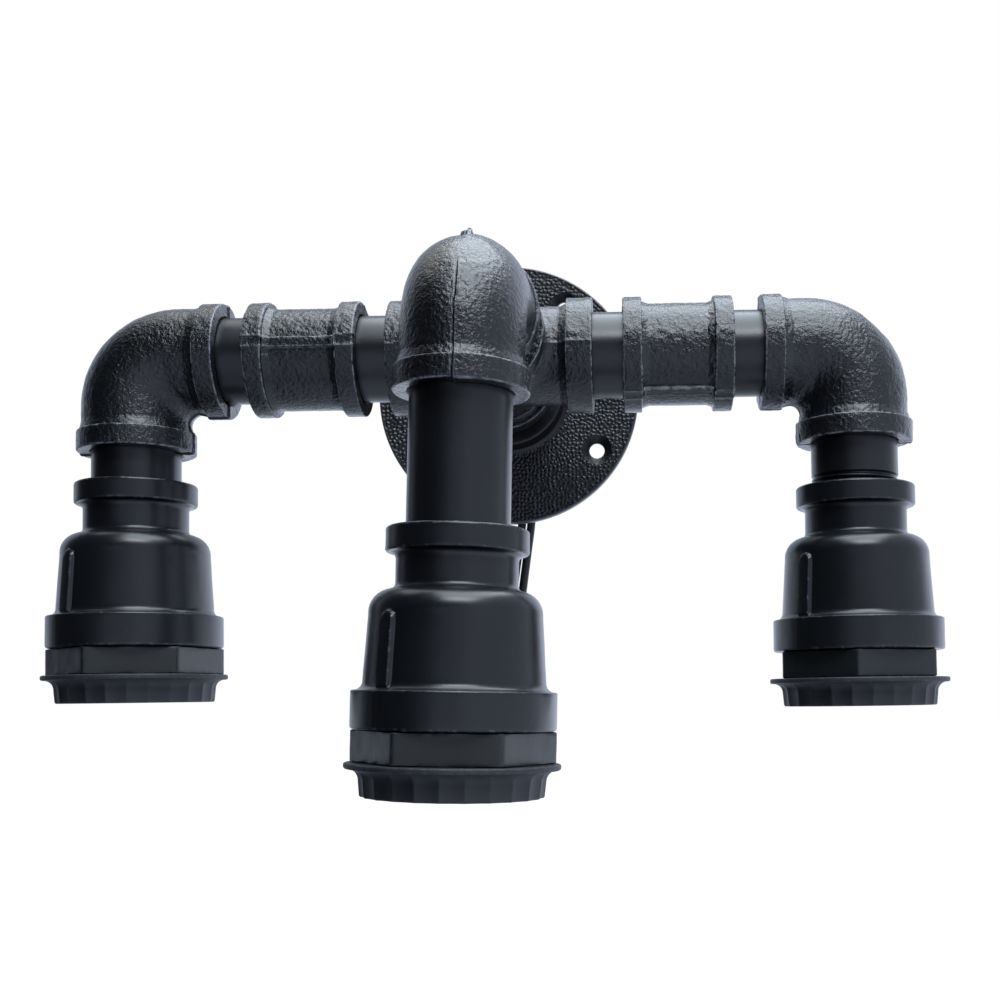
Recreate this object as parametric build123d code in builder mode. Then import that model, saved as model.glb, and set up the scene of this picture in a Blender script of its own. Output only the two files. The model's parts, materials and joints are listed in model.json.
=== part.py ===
from build123d import *
from math import cos, pi, radians, sin, tan
import os

# Wall light made of 3/4 inch pipe and cast fittings: a wall plate carries a cross, the cross carries
# two arms and a short front pipe, and each of the three ends in an elbow with a lamp head below it.
#
# The origin is the centre of the wall plate's back face. +X runs right along the arms, +Y runs into
# the wall and +Z is up. Sizes are in millimetres and angles in degrees.

os.makedirs("parts", exist_ok=True)

# ---------------------------------------------------------------------------------------------
# Driving dimensions
# ---------------------------------------------------------------------------------------------

# 3/4 inch pipe and its thread
pipe_radius = 13.45
pipe_bore = 10.85
pipe_end_chamfer = 0.8
thread_radius = 13.2
thread_length = 12.0
socket_radius = 13.25  # the fittings' thread, a running fit on the pipe's
socket_depth = 12.4
passage_radius = 12.0  # the waterway inside a fitting

# Cast fittings
collar_radius = 17.85
collar_edge = 0.7
cross_radius = 15.35
cross_face = 31.5  # from the cross's centre to each mouth
cross_collar = 7.5
cross_corner = 3.0
coupler_radius = 15.8
coupler_length = 34.0
coupler_collar = 5.8
coupler_root = 1.5
coupler_rib_width = 2.9
coupler_rib_height = 1.0
elbow_radius = 16.4
elbow_face = 29.0
elbow_collar = 6.2
elbow_bend = 15.0

# Wall plate
plate_radius = 46.0
plate_rim = 4.0
plate_edge = 0.9
boss_height = 12.0
boss_radius = 19.7
boss_draft = 0.3
boss_root = 1.6
boss_seat = 0.8  # how far the pipe's shoulder sits below the boss's top
plate_lip = 1.2  # stops the pipe short of the wall
plate_hole_circle = 37.0
plate_hole_radius = 2.7
plate_countersink = 5.6
plate_hole_angle = 33.0

# Bare pipe between the fittings
back_gap = 9.5
front_gap = 12.0
inner_gap = 9.5
outer_gap = 9.2
swivel_gap = 0.15  # between a pipe's shoulder and the elbow that turns on it

# Lamp head, measured down from the top of the bell
bell_collar_radius = 18.4
bell_collar = 6.4
bell_neck_radius = 15.75
bell_neck_root = 1.2
bell_neck_end = 16.2
bell_shoulder_radius = 22.3
bell_foot_radius = 23.5
bell_band_top = 41.6
bell_band_root = 1.4
bell_band_radius = 26.3
bell_band_edge = 0.6
bell_height = 51.5
bell_thread_radius = 20.95
bell_thread_depth = 15.0
bell_wall = 3.0
bell_rib_width = 4.5
bell_rib_height = 1.2
bush_flats = 46.0
bush_head = 8.4
bush_corner = 0.4
bush_thread_radius = 20.85
bush_thread_length = 11.5
bush_bore = 19.5
ring_flange_radius = 27.6
ring_flange = 1.5
ring_lip = 0.8
ring_flare = 2.9
ring_foot_radius = 23.5
ring_height = 8.6
ring_edge = 0.5
ring_bore = 19.38
flute_count = 24
flute_radius = 6.0
flute_depth = 0.6

# Lampholder for an E27 cap
fit_gap = 0.05
skirt_radius = 19.3
skirt_top_radius = 18.7
skirt_top = 27.0
skirt_foot = 67.6
skirt_shoulder_radius = 20.3
skirt_shoulder = 1.4
skirt_lip_radius = 13.9
skirt_lip = 5.4
skirt_mouth_chamfer = 2.2
insert_radius = 16.3
insert_flange = 6.5
insert_depth = 14.0
insert_crown_radius = 5.0
insert_crown = 2.4
shell_radius = 14.2
shell_bore = 13.4
shell_neck_radius = 13.2
shell_neck = 4.6
shell_floor = 0.8
shell_window = 7.0
tongue_thickness = 0.5
tongue_width = 5.0
terminal_spacing = 9.5
terminal_head_radius = 2.8
terminal_head = 2.0
terminal_shank_radius = 1.5
terminal_shank = 5.0

# Wiring
lead_radius = 2.75
lead_bend = 27.0
lead_entry = 3.0
lead_gap = 0.1  # to each side of the plane that a head turns at
wire_radius = 1.5
connector_width = 12.6
connector_height = 11.6
connector_front = -14.0
connector_back = -0.6
connector_edge = 1.0
connector_screw_radius = 1.7
connector_screw_depth = 2.6

# ---------------------------------------------------------------------------------------------
# Places worked out from them
# ---------------------------------------------------------------------------------------------

x_axis, y_axis = Vector(1, 0, 0), Vector(0, 1, 0)
cross_centre = Vector(0, -(boss_height + back_gap + cross_face), 0)
coupler_start = cross_face + inner_gap
coupler_end = coupler_start + coupler_length
arm_end = coupler_end + outer_gap
front_end = cross_face + front_gap
bush_foot = bell_height + bush_head
ring_foot = bush_foot + ring_height
bush_top = bell_height - bush_thread_length


class Head:
    """One lamp head: its elbow's centre, the way to its arm, its lean, drop pipe and turned angles."""

    def __init__(self, name, centre, arm, lean, drop, rib_angle, hex_angle):
        self.name = name
        self.centre = centre
        self.arm = arm
        self.up = Vector(sin(radians(lean)), 0, cos(radians(lean)))
        self.drop = drop
        self.rib_angle = rib_angle
        self.hex_angle = hex_angle
        self.bell_top = centre - self.up * (elbow_face + drop)
        self.axis = Axis(centre, self.up)

    def across(self, depth):
        """The plane square to the head's axis, this far below the bell's top. Its x axis is the front."""
        return Plane(origin=self.bell_top - self.up * depth, x_dir=-y_axis, z_dir=self.up)

    def along(self):
        """The plane through the head's axis: x is the distance to its right and y the height."""
        return Plane(origin=self.bell_top, x_dir=y_axis.cross(self.up), z_dir=-y_axis)


left_centre = cross_centre - x_axis * (arm_end + elbow_face)
right_centre = cross_centre + x_axis * (arm_end + elbow_face)
front_centre = cross_centre - y_axis * (front_end + elbow_face)
heads = (
    Head("left", left_centre, x_axis, lean=0, drop=10.1, rib_angle=-36, hex_angle=17),
    Head("right", right_centre, -x_axis, lean=0, drop=14.0, rib_angle=-52, hex_angle=20),
    Head("front", front_centre, y_axis, lean=1.69, drop=35.3, rib_angle=-39, hex_angle=4),
)


def port(centre, direction, distance=0):
    """The plane across a mouth, this far from a fitting's centre, facing out of it."""
    return Plane(origin=centre + direction * distance, z_dir=direction)


def round_edges(body, radius):
    """The circular edges of one radius on a body."""
    circles = body.edges().filter_by(GeomType.CIRCLE)
    return circles.filter_by(lambda edge: abs(edge.radius - radius) < 0.001)


# ---------------------------------------------------------------------------------------------
# Wall plate: a round flange with a threaded boss and four countersunk holes
# ---------------------------------------------------------------------------------------------

boss_foot = boss_radius + boss_draft
with BuildPart() as wall_plate:
    with BuildSketch(Plane.XY):
        with BuildLine():
            Polyline(
                (boss_foot + boss_root, -plate_rim),
                (plate_radius - plate_edge, -plate_rim),
                (plate_radius, plate_edge - plate_rim),
                (plate_radius, 0),
                (passage_radius, 0),
                (passage_radius, -plate_lip),
                (socket_radius, -plate_lip),
                (socket_radius, boss_seat - boss_height),
                (pipe_radius + 0.15, boss_seat - boss_height),
                (pipe_radius + 0.15 + boss_seat, -boss_height),
                (boss_radius - collar_edge, -boss_height),
                (boss_radius, collar_edge - boss_height),
                (boss_foot, -plate_rim - boss_root),
            )
            CenterArc((boss_foot + boss_root, -plate_rim - boss_root), boss_root, 90, 90)
        make_face()
    revolve(axis=Axis.Y)
    with Locations(Plane(origin=(0, -plate_rim, 0), x_dir=(1, 0, 0), z_dir=(0, -1, 0))):
        with PolarLocations(plate_hole_circle, 4, start_angle=-plate_hole_angle):
            CounterSinkHole(plate_hole_radius, plate_countersink, depth=plate_rim)

wall_plate.part.label = "wall_plate"
export_step(wall_plate.part, "parts/wall_plate.step")

# ---------------------------------------------------------------------------------------------
# Pipes: each has a bare barrel between two fittings and a thread at both ends
# ---------------------------------------------------------------------------------------------

plate_thread = boss_height - boss_seat - plate_lip - 0.2
seat_y = boss_seat - boss_height
pipes = [
    ("back_nipple", Vector(0, seat_y, 0), -y_axis, back_gap + boss_seat, plate_thread),
    ("front_nipple", cross_centre - y_axis * cross_face, -y_axis, front_gap - swivel_gap, thread_length),
]
for side, direction in (("left", -x_axis), ("right", x_axis)):
    inner_start = cross_centre + direction * cross_face
    outer_start = cross_centre + direction * coupler_end
    pipes.append((f"{side}_inner_nipple", inner_start, direction, inner_gap, thread_length))
    pipes.append((f"{side}_outer_nipple", outer_start, direction, outer_gap - swivel_gap, thread_length))
for head in heads:
    drop_start = head.centre - head.up * elbow_face
    pipes.append((f"{head.name}_drop_pipe", drop_start, -head.up, head.drop, thread_length))

for name, start, direction, barrel, near_thread in pipes:
    full_length = near_thread + barrel + thread_length
    with BuildPart() as pipe:
        with BuildSketch(port(start, direction, -near_thread)):
            Circle(thread_radius)
        extrude(amount=full_length)
        chamfer(round_edges(pipe, thread_radius), pipe_end_chamfer)
        with BuildSketch(port(start, direction)):
            Circle(pipe_radius)
        extrude(amount=barrel)
        with BuildSketch(port(start, direction, -near_thread)):
            Circle(pipe_bore)
        extrude(amount=full_length, mode=Mode.SUBTRACT)

    pipe.part.label = name
    export_step(pipe.part, f"parts/{name}.step")

# ---------------------------------------------------------------------------------------------
# Cross: two crossing tubes with rounded inner corners and a banded mouth on each arm
# ---------------------------------------------------------------------------------------------

arm_directions = (x_axis, -x_axis, y_axis, -y_axis)
with BuildPart() as cross:
    for direction in arm_directions:
        with BuildSketch(port(cross_centre, direction)):
            Circle(cross_radius)
        extrude(amount=cross_face)
    fillet(cross.edges().filter_by(GeomType.ELLIPSE), cross_corner)
    for direction in arm_directions:
        with BuildSketch(port(cross_centre, direction, cross_face - cross_collar)):
            Circle(collar_radius)
        extrude(amount=cross_collar)
    fillet(round_edges(cross, collar_radius), collar_edge)
    for direction in arm_directions:
        with BuildSketch(port(cross_centre, direction)):
            Circle(passage_radius)
        extrude(amount=cross_face, mode=Mode.SUBTRACT)
        with BuildSketch(port(cross_centre, direction, cross_face - socket_depth)):
            Circle(socket_radius)
        extrude(amount=socket_depth, mode=Mode.SUBTRACT)

cross.part.label = "cross"
export_step(cross.part, "parts/cross.step")

# ---------------------------------------------------------------------------------------------
# Couplers: one on each arm, banded at both ends, with two moulded ribs turned as each is screwed on
# ---------------------------------------------------------------------------------------------

half = coupler_length / 2
collar_back = coupler_collar - half
for name, direction, rib_angle in (("left_coupler", -1, 5), ("right_coupler", 1, -57)):
    coupler_centre = cross_centre + x_axis * direction * (coupler_start + half)
    with BuildPart() as coupler:
        with BuildSketch(Plane(origin=coupler_centre, x_dir=x_axis, z_dir=-y_axis)):
            with BuildLine():
                Polyline(
                    (0, passage_radius),
                    (socket_depth - half, passage_radius),
                    (socket_depth - half, socket_radius),
                    (-half, socket_radius),
                    (-half, collar_radius - collar_edge),
                    (collar_edge - half, collar_radius),
                    (collar_back - collar_edge, collar_radius),
                    (collar_back, collar_radius - collar_edge),
                    (collar_back, coupler_radius + coupler_root / 2),
                    (collar_back + coupler_root, coupler_radius),
                    (0, coupler_radius),
                )
                mirror(about=Plane.YZ)
            make_face()
        revolve(axis=Axis(coupler_centre, x_axis))
        rib_start = coupler_centre - x_axis * collar_back
        with BuildSketch(Plane(origin=rib_start, x_dir=-y_axis, z_dir=-x_axis)):
            with PolarLocations(coupler_radius, 2, start_angle=rib_angle):
                RectangleRounded(2 * coupler_rib_height, coupler_rib_width, 0.8 * coupler_rib_height)
        extrude(amount=-2 * collar_back)

    coupler.part.label = name
    export_step(coupler.part, f"parts/{name}.step")

# ---------------------------------------------------------------------------------------------
# Elbows: a quarter bend clipped at its own axis, so that the inner corner is a tight crease
# ---------------------------------------------------------------------------------------------

for head in heads:
    mouths = (head.arm, -head.up)
    bend_start = Plane(origin=head.centre + head.arm * elbow_bend, x_dir=head.up, z_dir=head.arm)
    bend_axis = Axis(head.centre + (head.arm - head.up) * elbow_bend, head.arm.cross(head.up))
    with BuildPart() as elbow:
        with BuildSketch(bend_start):
            Circle(elbow_radius)
            with Locations((-elbow_bend, 0)):
                Rectangle(
                    elbow_bend + elbow_radius,
                    2 * elbow_radius,
                    align=(Align.MIN, Align.CENTER),
                    mode=Mode.INTERSECT,
                )
        revolve(axis=bend_axis, revolution_arc=90)
        for direction in mouths:
            with BuildSketch(port(head.centre, direction, elbow_bend)):
                Circle(elbow_radius)
            extrude(amount=elbow_face - elbow_bend)
            with BuildSketch(port(head.centre, direction, elbow_face - elbow_collar)):
                Circle(collar_radius)
            extrude(amount=elbow_collar)
        fillet(round_edges(elbow, collar_radius), collar_edge)
        with BuildSketch(bend_start):
            Circle(passage_radius)
        revolve(axis=bend_axis, revolution_arc=90, mode=Mode.SUBTRACT)
        for direction in mouths:
            with BuildSketch(port(head.centre, direction, elbow_bend)):
                Circle(passage_radius)
            extrude(amount=elbow_face - elbow_bend, mode=Mode.SUBTRACT)
            with BuildSketch(port(head.centre, direction, elbow_face - socket_depth)):
                Circle(socket_radius)
            extrude(amount=socket_depth, mode=Mode.SUBTRACT)

    elbow.part.label = f"{head.name}_elbow"
    export_step(elbow.part, f"parts/{head.name}_elbow.step")

# ---------------------------------------------------------------------------------------------
# Bells: reducing fittings with a banded small mouth, a round shoulder, a large threaded mouth and
# two opposite ribs on the mould's parting line
# ---------------------------------------------------------------------------------------------

shoulder_round = bell_shoulder_radius - bell_neck_radius
shoulder_depth = bell_neck_end + shoulder_round
cavity_radius = bell_shoulder_radius - bell_wall
band_foot = bell_foot_radius + bell_band_root
for head in heads:
    with BuildPart() as bell:
        with BuildSketch(head.along()):
            with BuildLine():
                Polyline(
                    (bell_neck_radius + bell_neck_root, -bell_collar),
                    (bell_collar_radius - collar_edge, -bell_collar),
                    (bell_collar_radius, collar_edge - bell_collar),
                    (bell_collar_radius, -collar_edge),
                    (bell_collar_radius - collar_edge, 0),
                    (socket_radius, 0),
                    (socket_radius, -socket_depth),
                    (passage_radius, -socket_depth),
                    (passage_radius, -bell_neck_end - bell_wall),
                    (bell_neck_radius, -bell_neck_end - bell_wall),
                )
                CenterArc((bell_neck_radius, -shoulder_depth), shoulder_round - bell_wall, 90, -90)
                Polyline(
                    (cavity_radius, -shoulder_depth),
                    (cavity_radius, bell_thread_depth - bell_height + 1),
                    (bell_thread_radius, bell_thread_depth - bell_height),
                    (bell_thread_radius, -bell_height),
                    (bell_band_radius - bell_band_edge, -bell_height),
                    (bell_band_radius, bell_band_edge - bell_height),
                    (bell_band_radius, -bell_band_edge - bell_band_top),
                    (bell_band_radius - bell_band_edge, -bell_band_top),
                    (band_foot, -bell_band_top),
                )
                CenterArc((band_foot, bell_band_root - bell_band_top), bell_band_root, -90, -90)
                body_foot = (bell_foot_radius, bell_band_root - bell_band_top)
                Line(body_foot, (bell_shoulder_radius, -shoulder_depth))
                CenterArc((bell_neck_radius, -shoulder_depth), shoulder_round, 0, 90)
                Line((bell_neck_radius, -bell_neck_end), (bell_neck_radius, -bell_collar - bell_neck_root))
                neck_root = (bell_neck_radius + bell_neck_root, -bell_collar - bell_neck_root)
                CenterArc(neck_root, bell_neck_root, 180, -90)
            make_face()
        revolve(axis=head.axis)
        for rib_angle in (head.rib_angle, head.rib_angle + 180):
            for depth, radius in ((bell_band_top, bell_foot_radius), (shoulder_depth, bell_shoulder_radius)):
                with BuildSketch(head.across(depth)):
                    with PolarLocations(radius, 1, start_angle=rib_angle):
                        RectangleRounded(2 * bell_rib_height, bell_rib_width, 0.9 * bell_rib_height)
            loft()

    bell.part.label = f"{head.name}_bell"
    export_step(bell.part, f"parts/{head.name}_bell.step")

# ---------------------------------------------------------------------------------------------
# Hex bushes: screwed into the bells, bored out for the lampholders
# ---------------------------------------------------------------------------------------------

for head in heads:
    with BuildPart() as bush:
        with BuildSketch(head.across(bush_foot)):
            RegularPolygon(bush_flats / 2, 6, major_radius=False, rotation=30 + head.hex_angle)
        extrude(amount=bush_head)
        chamfer(bush.faces().filter_by(Axis(head.centre, head.up)).edges(), bush_corner)
        with BuildSketch(head.across(bell_height)):
            Circle(bush_thread_radius)
        extrude(amount=bush_thread_length)
        with BuildSketch(head.across(bush_foot)):
            Circle(bush_bore)
        extrude(amount=bush_head + bush_thread_length, mode=Mode.SUBTRACT)

    bush.part.label = f"{head.name}_hex_bush"
    export_step(bush.part, f"parts/{head.name}_hex_bush.step")

# ---------------------------------------------------------------------------------------------
# Lampholders: a moulded skirt that hangs on the bush, a ceramic insert, a screw shell and contacts
# ---------------------------------------------------------------------------------------------

insert_seat = skirt_top + insert_flange
shell_top = skirt_top + insert_depth
shell_step = shell_top + shell_neck
shell_foot = skirt_foot - skirt_lip
mouth_radius = skirt_lip_radius + skirt_mouth_chamfer
for head in heads:
    with BuildPart() as skirt:
        with BuildSketch(head.along()):
            with BuildLine():
                Polyline(
                    (insert_radius + fit_gap, -skirt_top),
                    (skirt_top_radius, -skirt_top),
                    (skirt_top_radius, skirt_shoulder - bush_top),
                    (skirt_shoulder_radius, skirt_shoulder - bush_top),
                    (skirt_shoulder_radius, -bush_top),
                    (skirt_radius, -bush_top),
                    (skirt_radius, ring_edge - skirt_foot),
                    (skirt_radius - ring_edge, -skirt_foot),
                    (mouth_radius, -skirt_foot),
                    (skirt_lip_radius, skirt_mouth_chamfer - skirt_foot),
                    (skirt_lip_radius, -shell_foot),
                    (shell_radius + fit_gap, -shell_foot),
                    (shell_radius + fit_gap, -insert_seat),
                    (insert_radius + fit_gap, -insert_seat),
                    (insert_radius + fit_gap, -skirt_top),
                )
            make_face()
        revolve(axis=head.axis)

    skirt.part.label = f"{head.name}_holder_skirt"
    export_step(skirt.part, f"parts/{head.name}_holder_skirt.step")

    with BuildPart() as insert:
        with BuildSketch(head.across(insert_seat)):
            Circle(insert_radius)
        extrude(amount=insert_flange)
        with BuildSketch(head.across(shell_top)):
            Circle(shell_radius)
        extrude(amount=insert_depth - insert_flange)
        with BuildSketch(head.across(skirt_top)):
            Circle(insert_crown_radius)
        extrude(amount=insert_crown)
        with Locations(head.across(skirt_top - insert_crown)):
            Hole(lead_radius + 2 * fit_gap, depth=lead_entry)
        with Locations(head.across(skirt_top)):
            with PolarLocations(terminal_spacing, 2, start_angle=90):
                Hole(terminal_shank_radius + fit_gap, depth=terminal_shank + 0.5)

    insert.part.label = f"{head.name}_holder_insert"
    export_step(insert.part, f"parts/{head.name}_holder_insert.step")

    with BuildPart() as screws:
        with BuildSketch(head.across(skirt_top)):
            with PolarLocations(terminal_spacing, 2, start_angle=90):
                Circle(terminal_head_radius)
        extrude(amount=terminal_head)
        with BuildSketch(head.across(skirt_top)):
            with PolarLocations(terminal_spacing, 2, start_angle=90):
                Circle(terminal_shank_radius)
        extrude(amount=-terminal_shank)

    screws.part.label = f"{head.name}_terminal_screws"
    export_step(screws.part, f"parts/{head.name}_terminal_screws.step")

    with BuildPart() as shell:
        with BuildSketch(head.along()):
            with BuildLine():
                Polyline(
                    (shell_window, -shell_top),
                    (shell_neck_radius, -shell_top),
                    (shell_neck_radius, shell_floor - shell_step),
                    (shell_radius, shell_floor - shell_step),
                    (shell_radius, -shell_foot),
                    (shell_bore, -shell_foot),
                    (shell_bore, -shell_step),
                    (shell_neck_radius - shell_floor, -shell_step),
                    (shell_neck_radius - shell_floor, -shell_top - shell_floor),
                    (shell_window, -shell_top - shell_floor),
                    (shell_window, -shell_top),
                )
            make_face()
        revolve(axis=head.axis)

    shell.part.label = f"{head.name}_screw_shell"
    export_step(shell.part, f"parts/{head.name}_screw_shell.step")

    foot_height = -shell_top - tongue_thickness / 2
    with BuildPart() as tongue:
        with BuildSketch(head.along()):
            with BuildLine():
                Polyline(
                    (-5.8, foot_height),
                    (-2.6, foot_height),
                    (0.8, foot_height - 3.6),
                    (2.4, foot_height - 3.2),
                )
                offset(amount=tongue_thickness / 2)
            make_face()
        extrude(amount=tongue_width / 2, both=True)

    tongue.part.label = f"{head.name}_centre_contact"
    export_step(tongue.part, f"parts/{head.name}_centre_contact.step")

# ---------------------------------------------------------------------------------------------
# Shade rings: screwed up the skirts against the bushes, flanged and fluted for the fingers
# ---------------------------------------------------------------------------------------------

flare_top = bush_foot + ring_flange
lip_radius = ring_flange_radius - ring_lip
flare_radius = lip_radius - ring_flare
for head in heads:
    with BuildPart() as ring:
        with BuildSketch(head.along()):
            with BuildLine():
                CenterArc((lip_radius, -flare_top - ring_flare), ring_flare, 90, 90)
                Polyline(
                    (flare_radius, -flare_top - ring_flare),
                    (ring_foot_radius, ring_edge - ring_foot),
                    (ring_foot_radius - ring_edge, -ring_foot),
                    (ring_bore + ring_edge, -ring_foot),
                    (ring_bore, ring_edge - ring_foot),
                    (ring_bore, -bush_foot),
                    (ring_flange_radius, -bush_foot),
                    (ring_flange_radius, -flare_top),
                    (lip_radius, -flare_top),
                )
            make_face()
        revolve(axis=head.axis)
        with BuildSketch(head.across(ring_foot)):
            with PolarLocations(ring_foot_radius - flute_depth + flute_radius, flute_count):
                Circle(flute_radius)
        extrude(amount=ring_foot - flare_top - ring_flare, mode=Mode.SUBTRACT)

    ring.part.label = f"{head.name}_shade_ring"
    export_step(ring.part, f"parts/{head.name}_shade_ring.step")

# ---------------------------------------------------------------------------------------------
# Wiring: a lead to each lampholder, a two-way connector behind the cross and two tails that hang
# out of the wall plate
# ---------------------------------------------------------------------------------------------

with BuildPart() as connector:
    with BuildSketch(Plane(origin=(0, connector_front, 0), x_dir=(-1, 0, 0), z_dir=(0, 1, 0))):
        RectangleRounded(connector_width, connector_height, connector_edge)
    extrude(amount=connector_back - connector_front)
    screw_y = (connector_front + connector_back) / 2
    with Locations(Plane.XY.offset(connector_height / 2)):
        with Locations((-connector_width / 4, screw_y), (connector_width / 4, screw_y)):
            Hole(connector_screw_radius + fit_gap, depth=connector_screw_depth)

connector.part.label = "wire_connector"
export_step(connector.part, "parts/wire_connector.step")

with BuildPart() as connector_screws:
    with BuildSketch(Plane.XY.offset(connector_height / 2 - connector_screw_depth)):
        with Locations((-connector_width / 4, screw_y), (connector_width / 4, screw_y)):
            Circle(connector_screw_radius)
    extrude(amount=connector_screw_depth - 0.4)

connector_screws.part.label = "connector_screws"
export_step(connector_screws.part, "parts/connector_screws.step")


def corner_turn(before, corner, after):
    """How far the route turns at a corner, in degrees."""
    return (corner - before).get_angle(after - corner)


def corner_radii(points):
    """The largest arc for each corner of a free wire: 0.45 of the shorter run over tan(half turn)."""
    radii = []
    for before, corner, after in zip(points, points[1:], points[2:]):
        shorter = min((corner - before).length, (after - corner).length)
        radii.append(0.45 * shorter / tan(radians(corner_turn(before, corner, after) / 2)))
    return radii


def report_tube(name, part, path, radius, radii):
    """Print a tube's length, its arcs, and its volume against its section times its length."""
    plain = pi * radius**2 * path.length
    arcs = [round(bend, 1) for bend in radii]
    print(f"{name}: length {path.length:.1f}, arcs {arcs}, volume ratio {part.volume / plain:.4f}")


lead_offset = 3.1
side_lead_height = -2.4
front_lead_height = 3.0
lead_routes = {
    "front_inner_lead": [
        cross_centre - y_axis * (front_end - lead_gap),
        cross_centre - y_axis * cross_face / 2,
        cross_centre + Vector(0, cross_face / 2, front_lead_height),
        Vector(0, connector_front, front_lead_height),
    ]
}
for name, side in (("left_inner_lead", -1), ("right_inner_lead", 1)):
    lead_routes[name] = [
        cross_centre + x_axis * side * (arm_end - lead_gap),
        Vector(side * lead_offset, cross_centre.Y, side_lead_height),
        Vector(side * lead_offset, connector_front, side_lead_height),
    ]
for head in heads:
    lead_routes[f"{head.name}_head_lead"] = [
        head.centre + head.arm * (elbow_face - lead_gap),
        head.centre,
        head.bell_top - head.up * (skirt_top - insert_crown + lead_entry),
    ]

for name, points in lead_routes.items():
    with BuildPart() as lead:
        with BuildLine():
            path = FilletPolyline(*points, radius=lead_bend)
        with BuildSketch(Plane(origin=path @ 0, z_dir=path % 0)):
            Circle(lead_radius)
        sweep(path=path)
    report_tube(name, lead.part, path, lead_radius, [lead_bend] * (len(points) - 2))

    lead.part.label = name
    export_step(lead.part, f"parts/{name}.step")

tail_routes = {
    "left_tail_wire": [
        (-3.1, -0.6, -1.0),
        (-3.1, 5.6, -1.0),
        (-2.6, 10.6, -3.9),
        (-1.3, 13.5, -9.1),
        (1.4, 14.2, -20.0),
        (3.8, 13.4, -38.6),
        (1.0, 12.0, -58.4),
        (-1.9, 11.0, -79.6),
        (-5.2, 11.6, -101.0),
        (-8.4, 13.4, -121.0),
    ],
    "right_tail_wire": [
        (3.1, -0.6, -1.0),
        (3.1, 5.6, -1.0),
        (3.4, 10.6, -3.9),
        (4.2, 13.4, -9.2),
        (5.6, 14.0, -19.6),
        (7.2, 13.4, -38.0),
        (4.4, 12.0, -58.0),
        (1.5, 11.0, -80.0),
        (-1.4, 11.8, -104.0),
        (-2.4, 13.2, -127.0),
    ],
}
for name, route in tail_routes.items():
    points = [Vector(*point) for point in route]
    radii = corner_radii(points)
    with BuildPart() as tail:
        with BuildLine():
            path = FilletPolyline(*points, radius=radii)
        with BuildSketch(Plane(origin=path @ 0, z_dir=path % 0)):
            Circle(wire_radius)
        sweep(path=path)
    report_tube(name, tail.part, path, wire_radius, radii)

    tail.part.label = name
    export_step(tail.part, f"parts/{name}.step")
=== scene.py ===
# %% [markdown]
# # A wall light made of pipe fittings
#
# The light is black 3/4 inch pipe, rough glossy castings, smooth satin bells and dull moulded shade rings.
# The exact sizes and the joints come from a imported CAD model. This lesson dresses that model: each visible
# fitting is drawn again as a surface with the marks that a foundry leaves, and each gets its own finish.
#
# Lengths are in millimetres until a mesh is made. +X runs along the arms, +Y into the wall and +Z up.

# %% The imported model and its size
import itertools
import json

import bmesh
import bpy
import numpy as np
from mathutils import Matrix, Vector

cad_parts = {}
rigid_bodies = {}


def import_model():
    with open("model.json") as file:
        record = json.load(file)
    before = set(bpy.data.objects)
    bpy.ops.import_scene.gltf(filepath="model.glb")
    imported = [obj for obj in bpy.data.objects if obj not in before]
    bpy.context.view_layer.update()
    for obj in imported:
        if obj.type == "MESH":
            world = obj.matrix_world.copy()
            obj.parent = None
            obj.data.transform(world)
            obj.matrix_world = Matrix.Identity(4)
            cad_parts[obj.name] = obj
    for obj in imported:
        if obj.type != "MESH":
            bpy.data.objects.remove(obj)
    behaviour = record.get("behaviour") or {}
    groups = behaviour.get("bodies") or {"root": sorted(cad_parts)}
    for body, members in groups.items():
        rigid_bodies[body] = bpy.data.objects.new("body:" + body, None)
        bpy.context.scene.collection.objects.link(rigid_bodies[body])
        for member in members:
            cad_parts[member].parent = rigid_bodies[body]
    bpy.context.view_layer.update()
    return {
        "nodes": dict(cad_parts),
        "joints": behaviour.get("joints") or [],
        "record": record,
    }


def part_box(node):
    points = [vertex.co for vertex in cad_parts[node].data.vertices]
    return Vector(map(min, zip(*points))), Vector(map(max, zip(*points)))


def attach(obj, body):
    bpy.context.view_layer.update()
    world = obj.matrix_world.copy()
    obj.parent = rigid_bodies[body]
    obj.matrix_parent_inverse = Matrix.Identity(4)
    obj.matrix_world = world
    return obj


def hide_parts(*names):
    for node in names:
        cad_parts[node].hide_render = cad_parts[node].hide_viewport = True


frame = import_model()
MM = 0.001

# %% [markdown]
# ## The camera
#
# A photograph's camera can be found again from sizes that are known. The pipe is 26.9 mm thick, so the
# widths and places of the fittings in the picture give the camera's place, its direction and its lens.
# The picture was cut off centre from a larger one, which the lens shift repeats. A large shift would push
# the object out of other views, so part of it is turned into a small tilt.

# %% Camera
CAMERA_PLACE = Vector((42.17, -453.86, -108.33))
CAMERA_YAW, CAMERA_PITCH, CAMERA_ROLL = np.radians((-0.490, 2.616, -0.785))
PICTURE_SIZE, FOCAL_PIXELS = 1000, 1281.9
PRINCIPAL_POINT = (620, 640)


def added(name, data):
    """A new object in the scene that shows this data."""
    thing = bpy.data.objects.new(name, data)
    bpy.context.scene.collection.objects.link(thing)
    return thing


camera = added("camera", bpy.data.cameras.new("camera"))
bpy.context.scene.camera = camera
camera.data.lens = FOCAL_PIXELS / PICTURE_SIZE * camera.data.sensor_width
camera.data.shift_x = 0.5 - PRINCIPAL_POINT[0] / PICTURE_SIZE
camera.data.shift_y = PRINCIPAL_POINT[1] / PICTURE_SIZE - 0.5
camera.data.clip_start, camera.data.clip_end = 0.01, 200
turn = (
    Matrix.Rotation(-CAMERA_YAW, 4, "Z")
    @ Matrix.Rotation(np.pi / 2 + CAMERA_PITCH, 4, "X")
    @ Matrix.Rotation(CAMERA_ROLL, 4, "Z")
)
camera.matrix_world = Matrix.Translation(CAMERA_PLACE * MM) @ turn
print(f"lens {camera.data.lens:.1f} mm")

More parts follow.
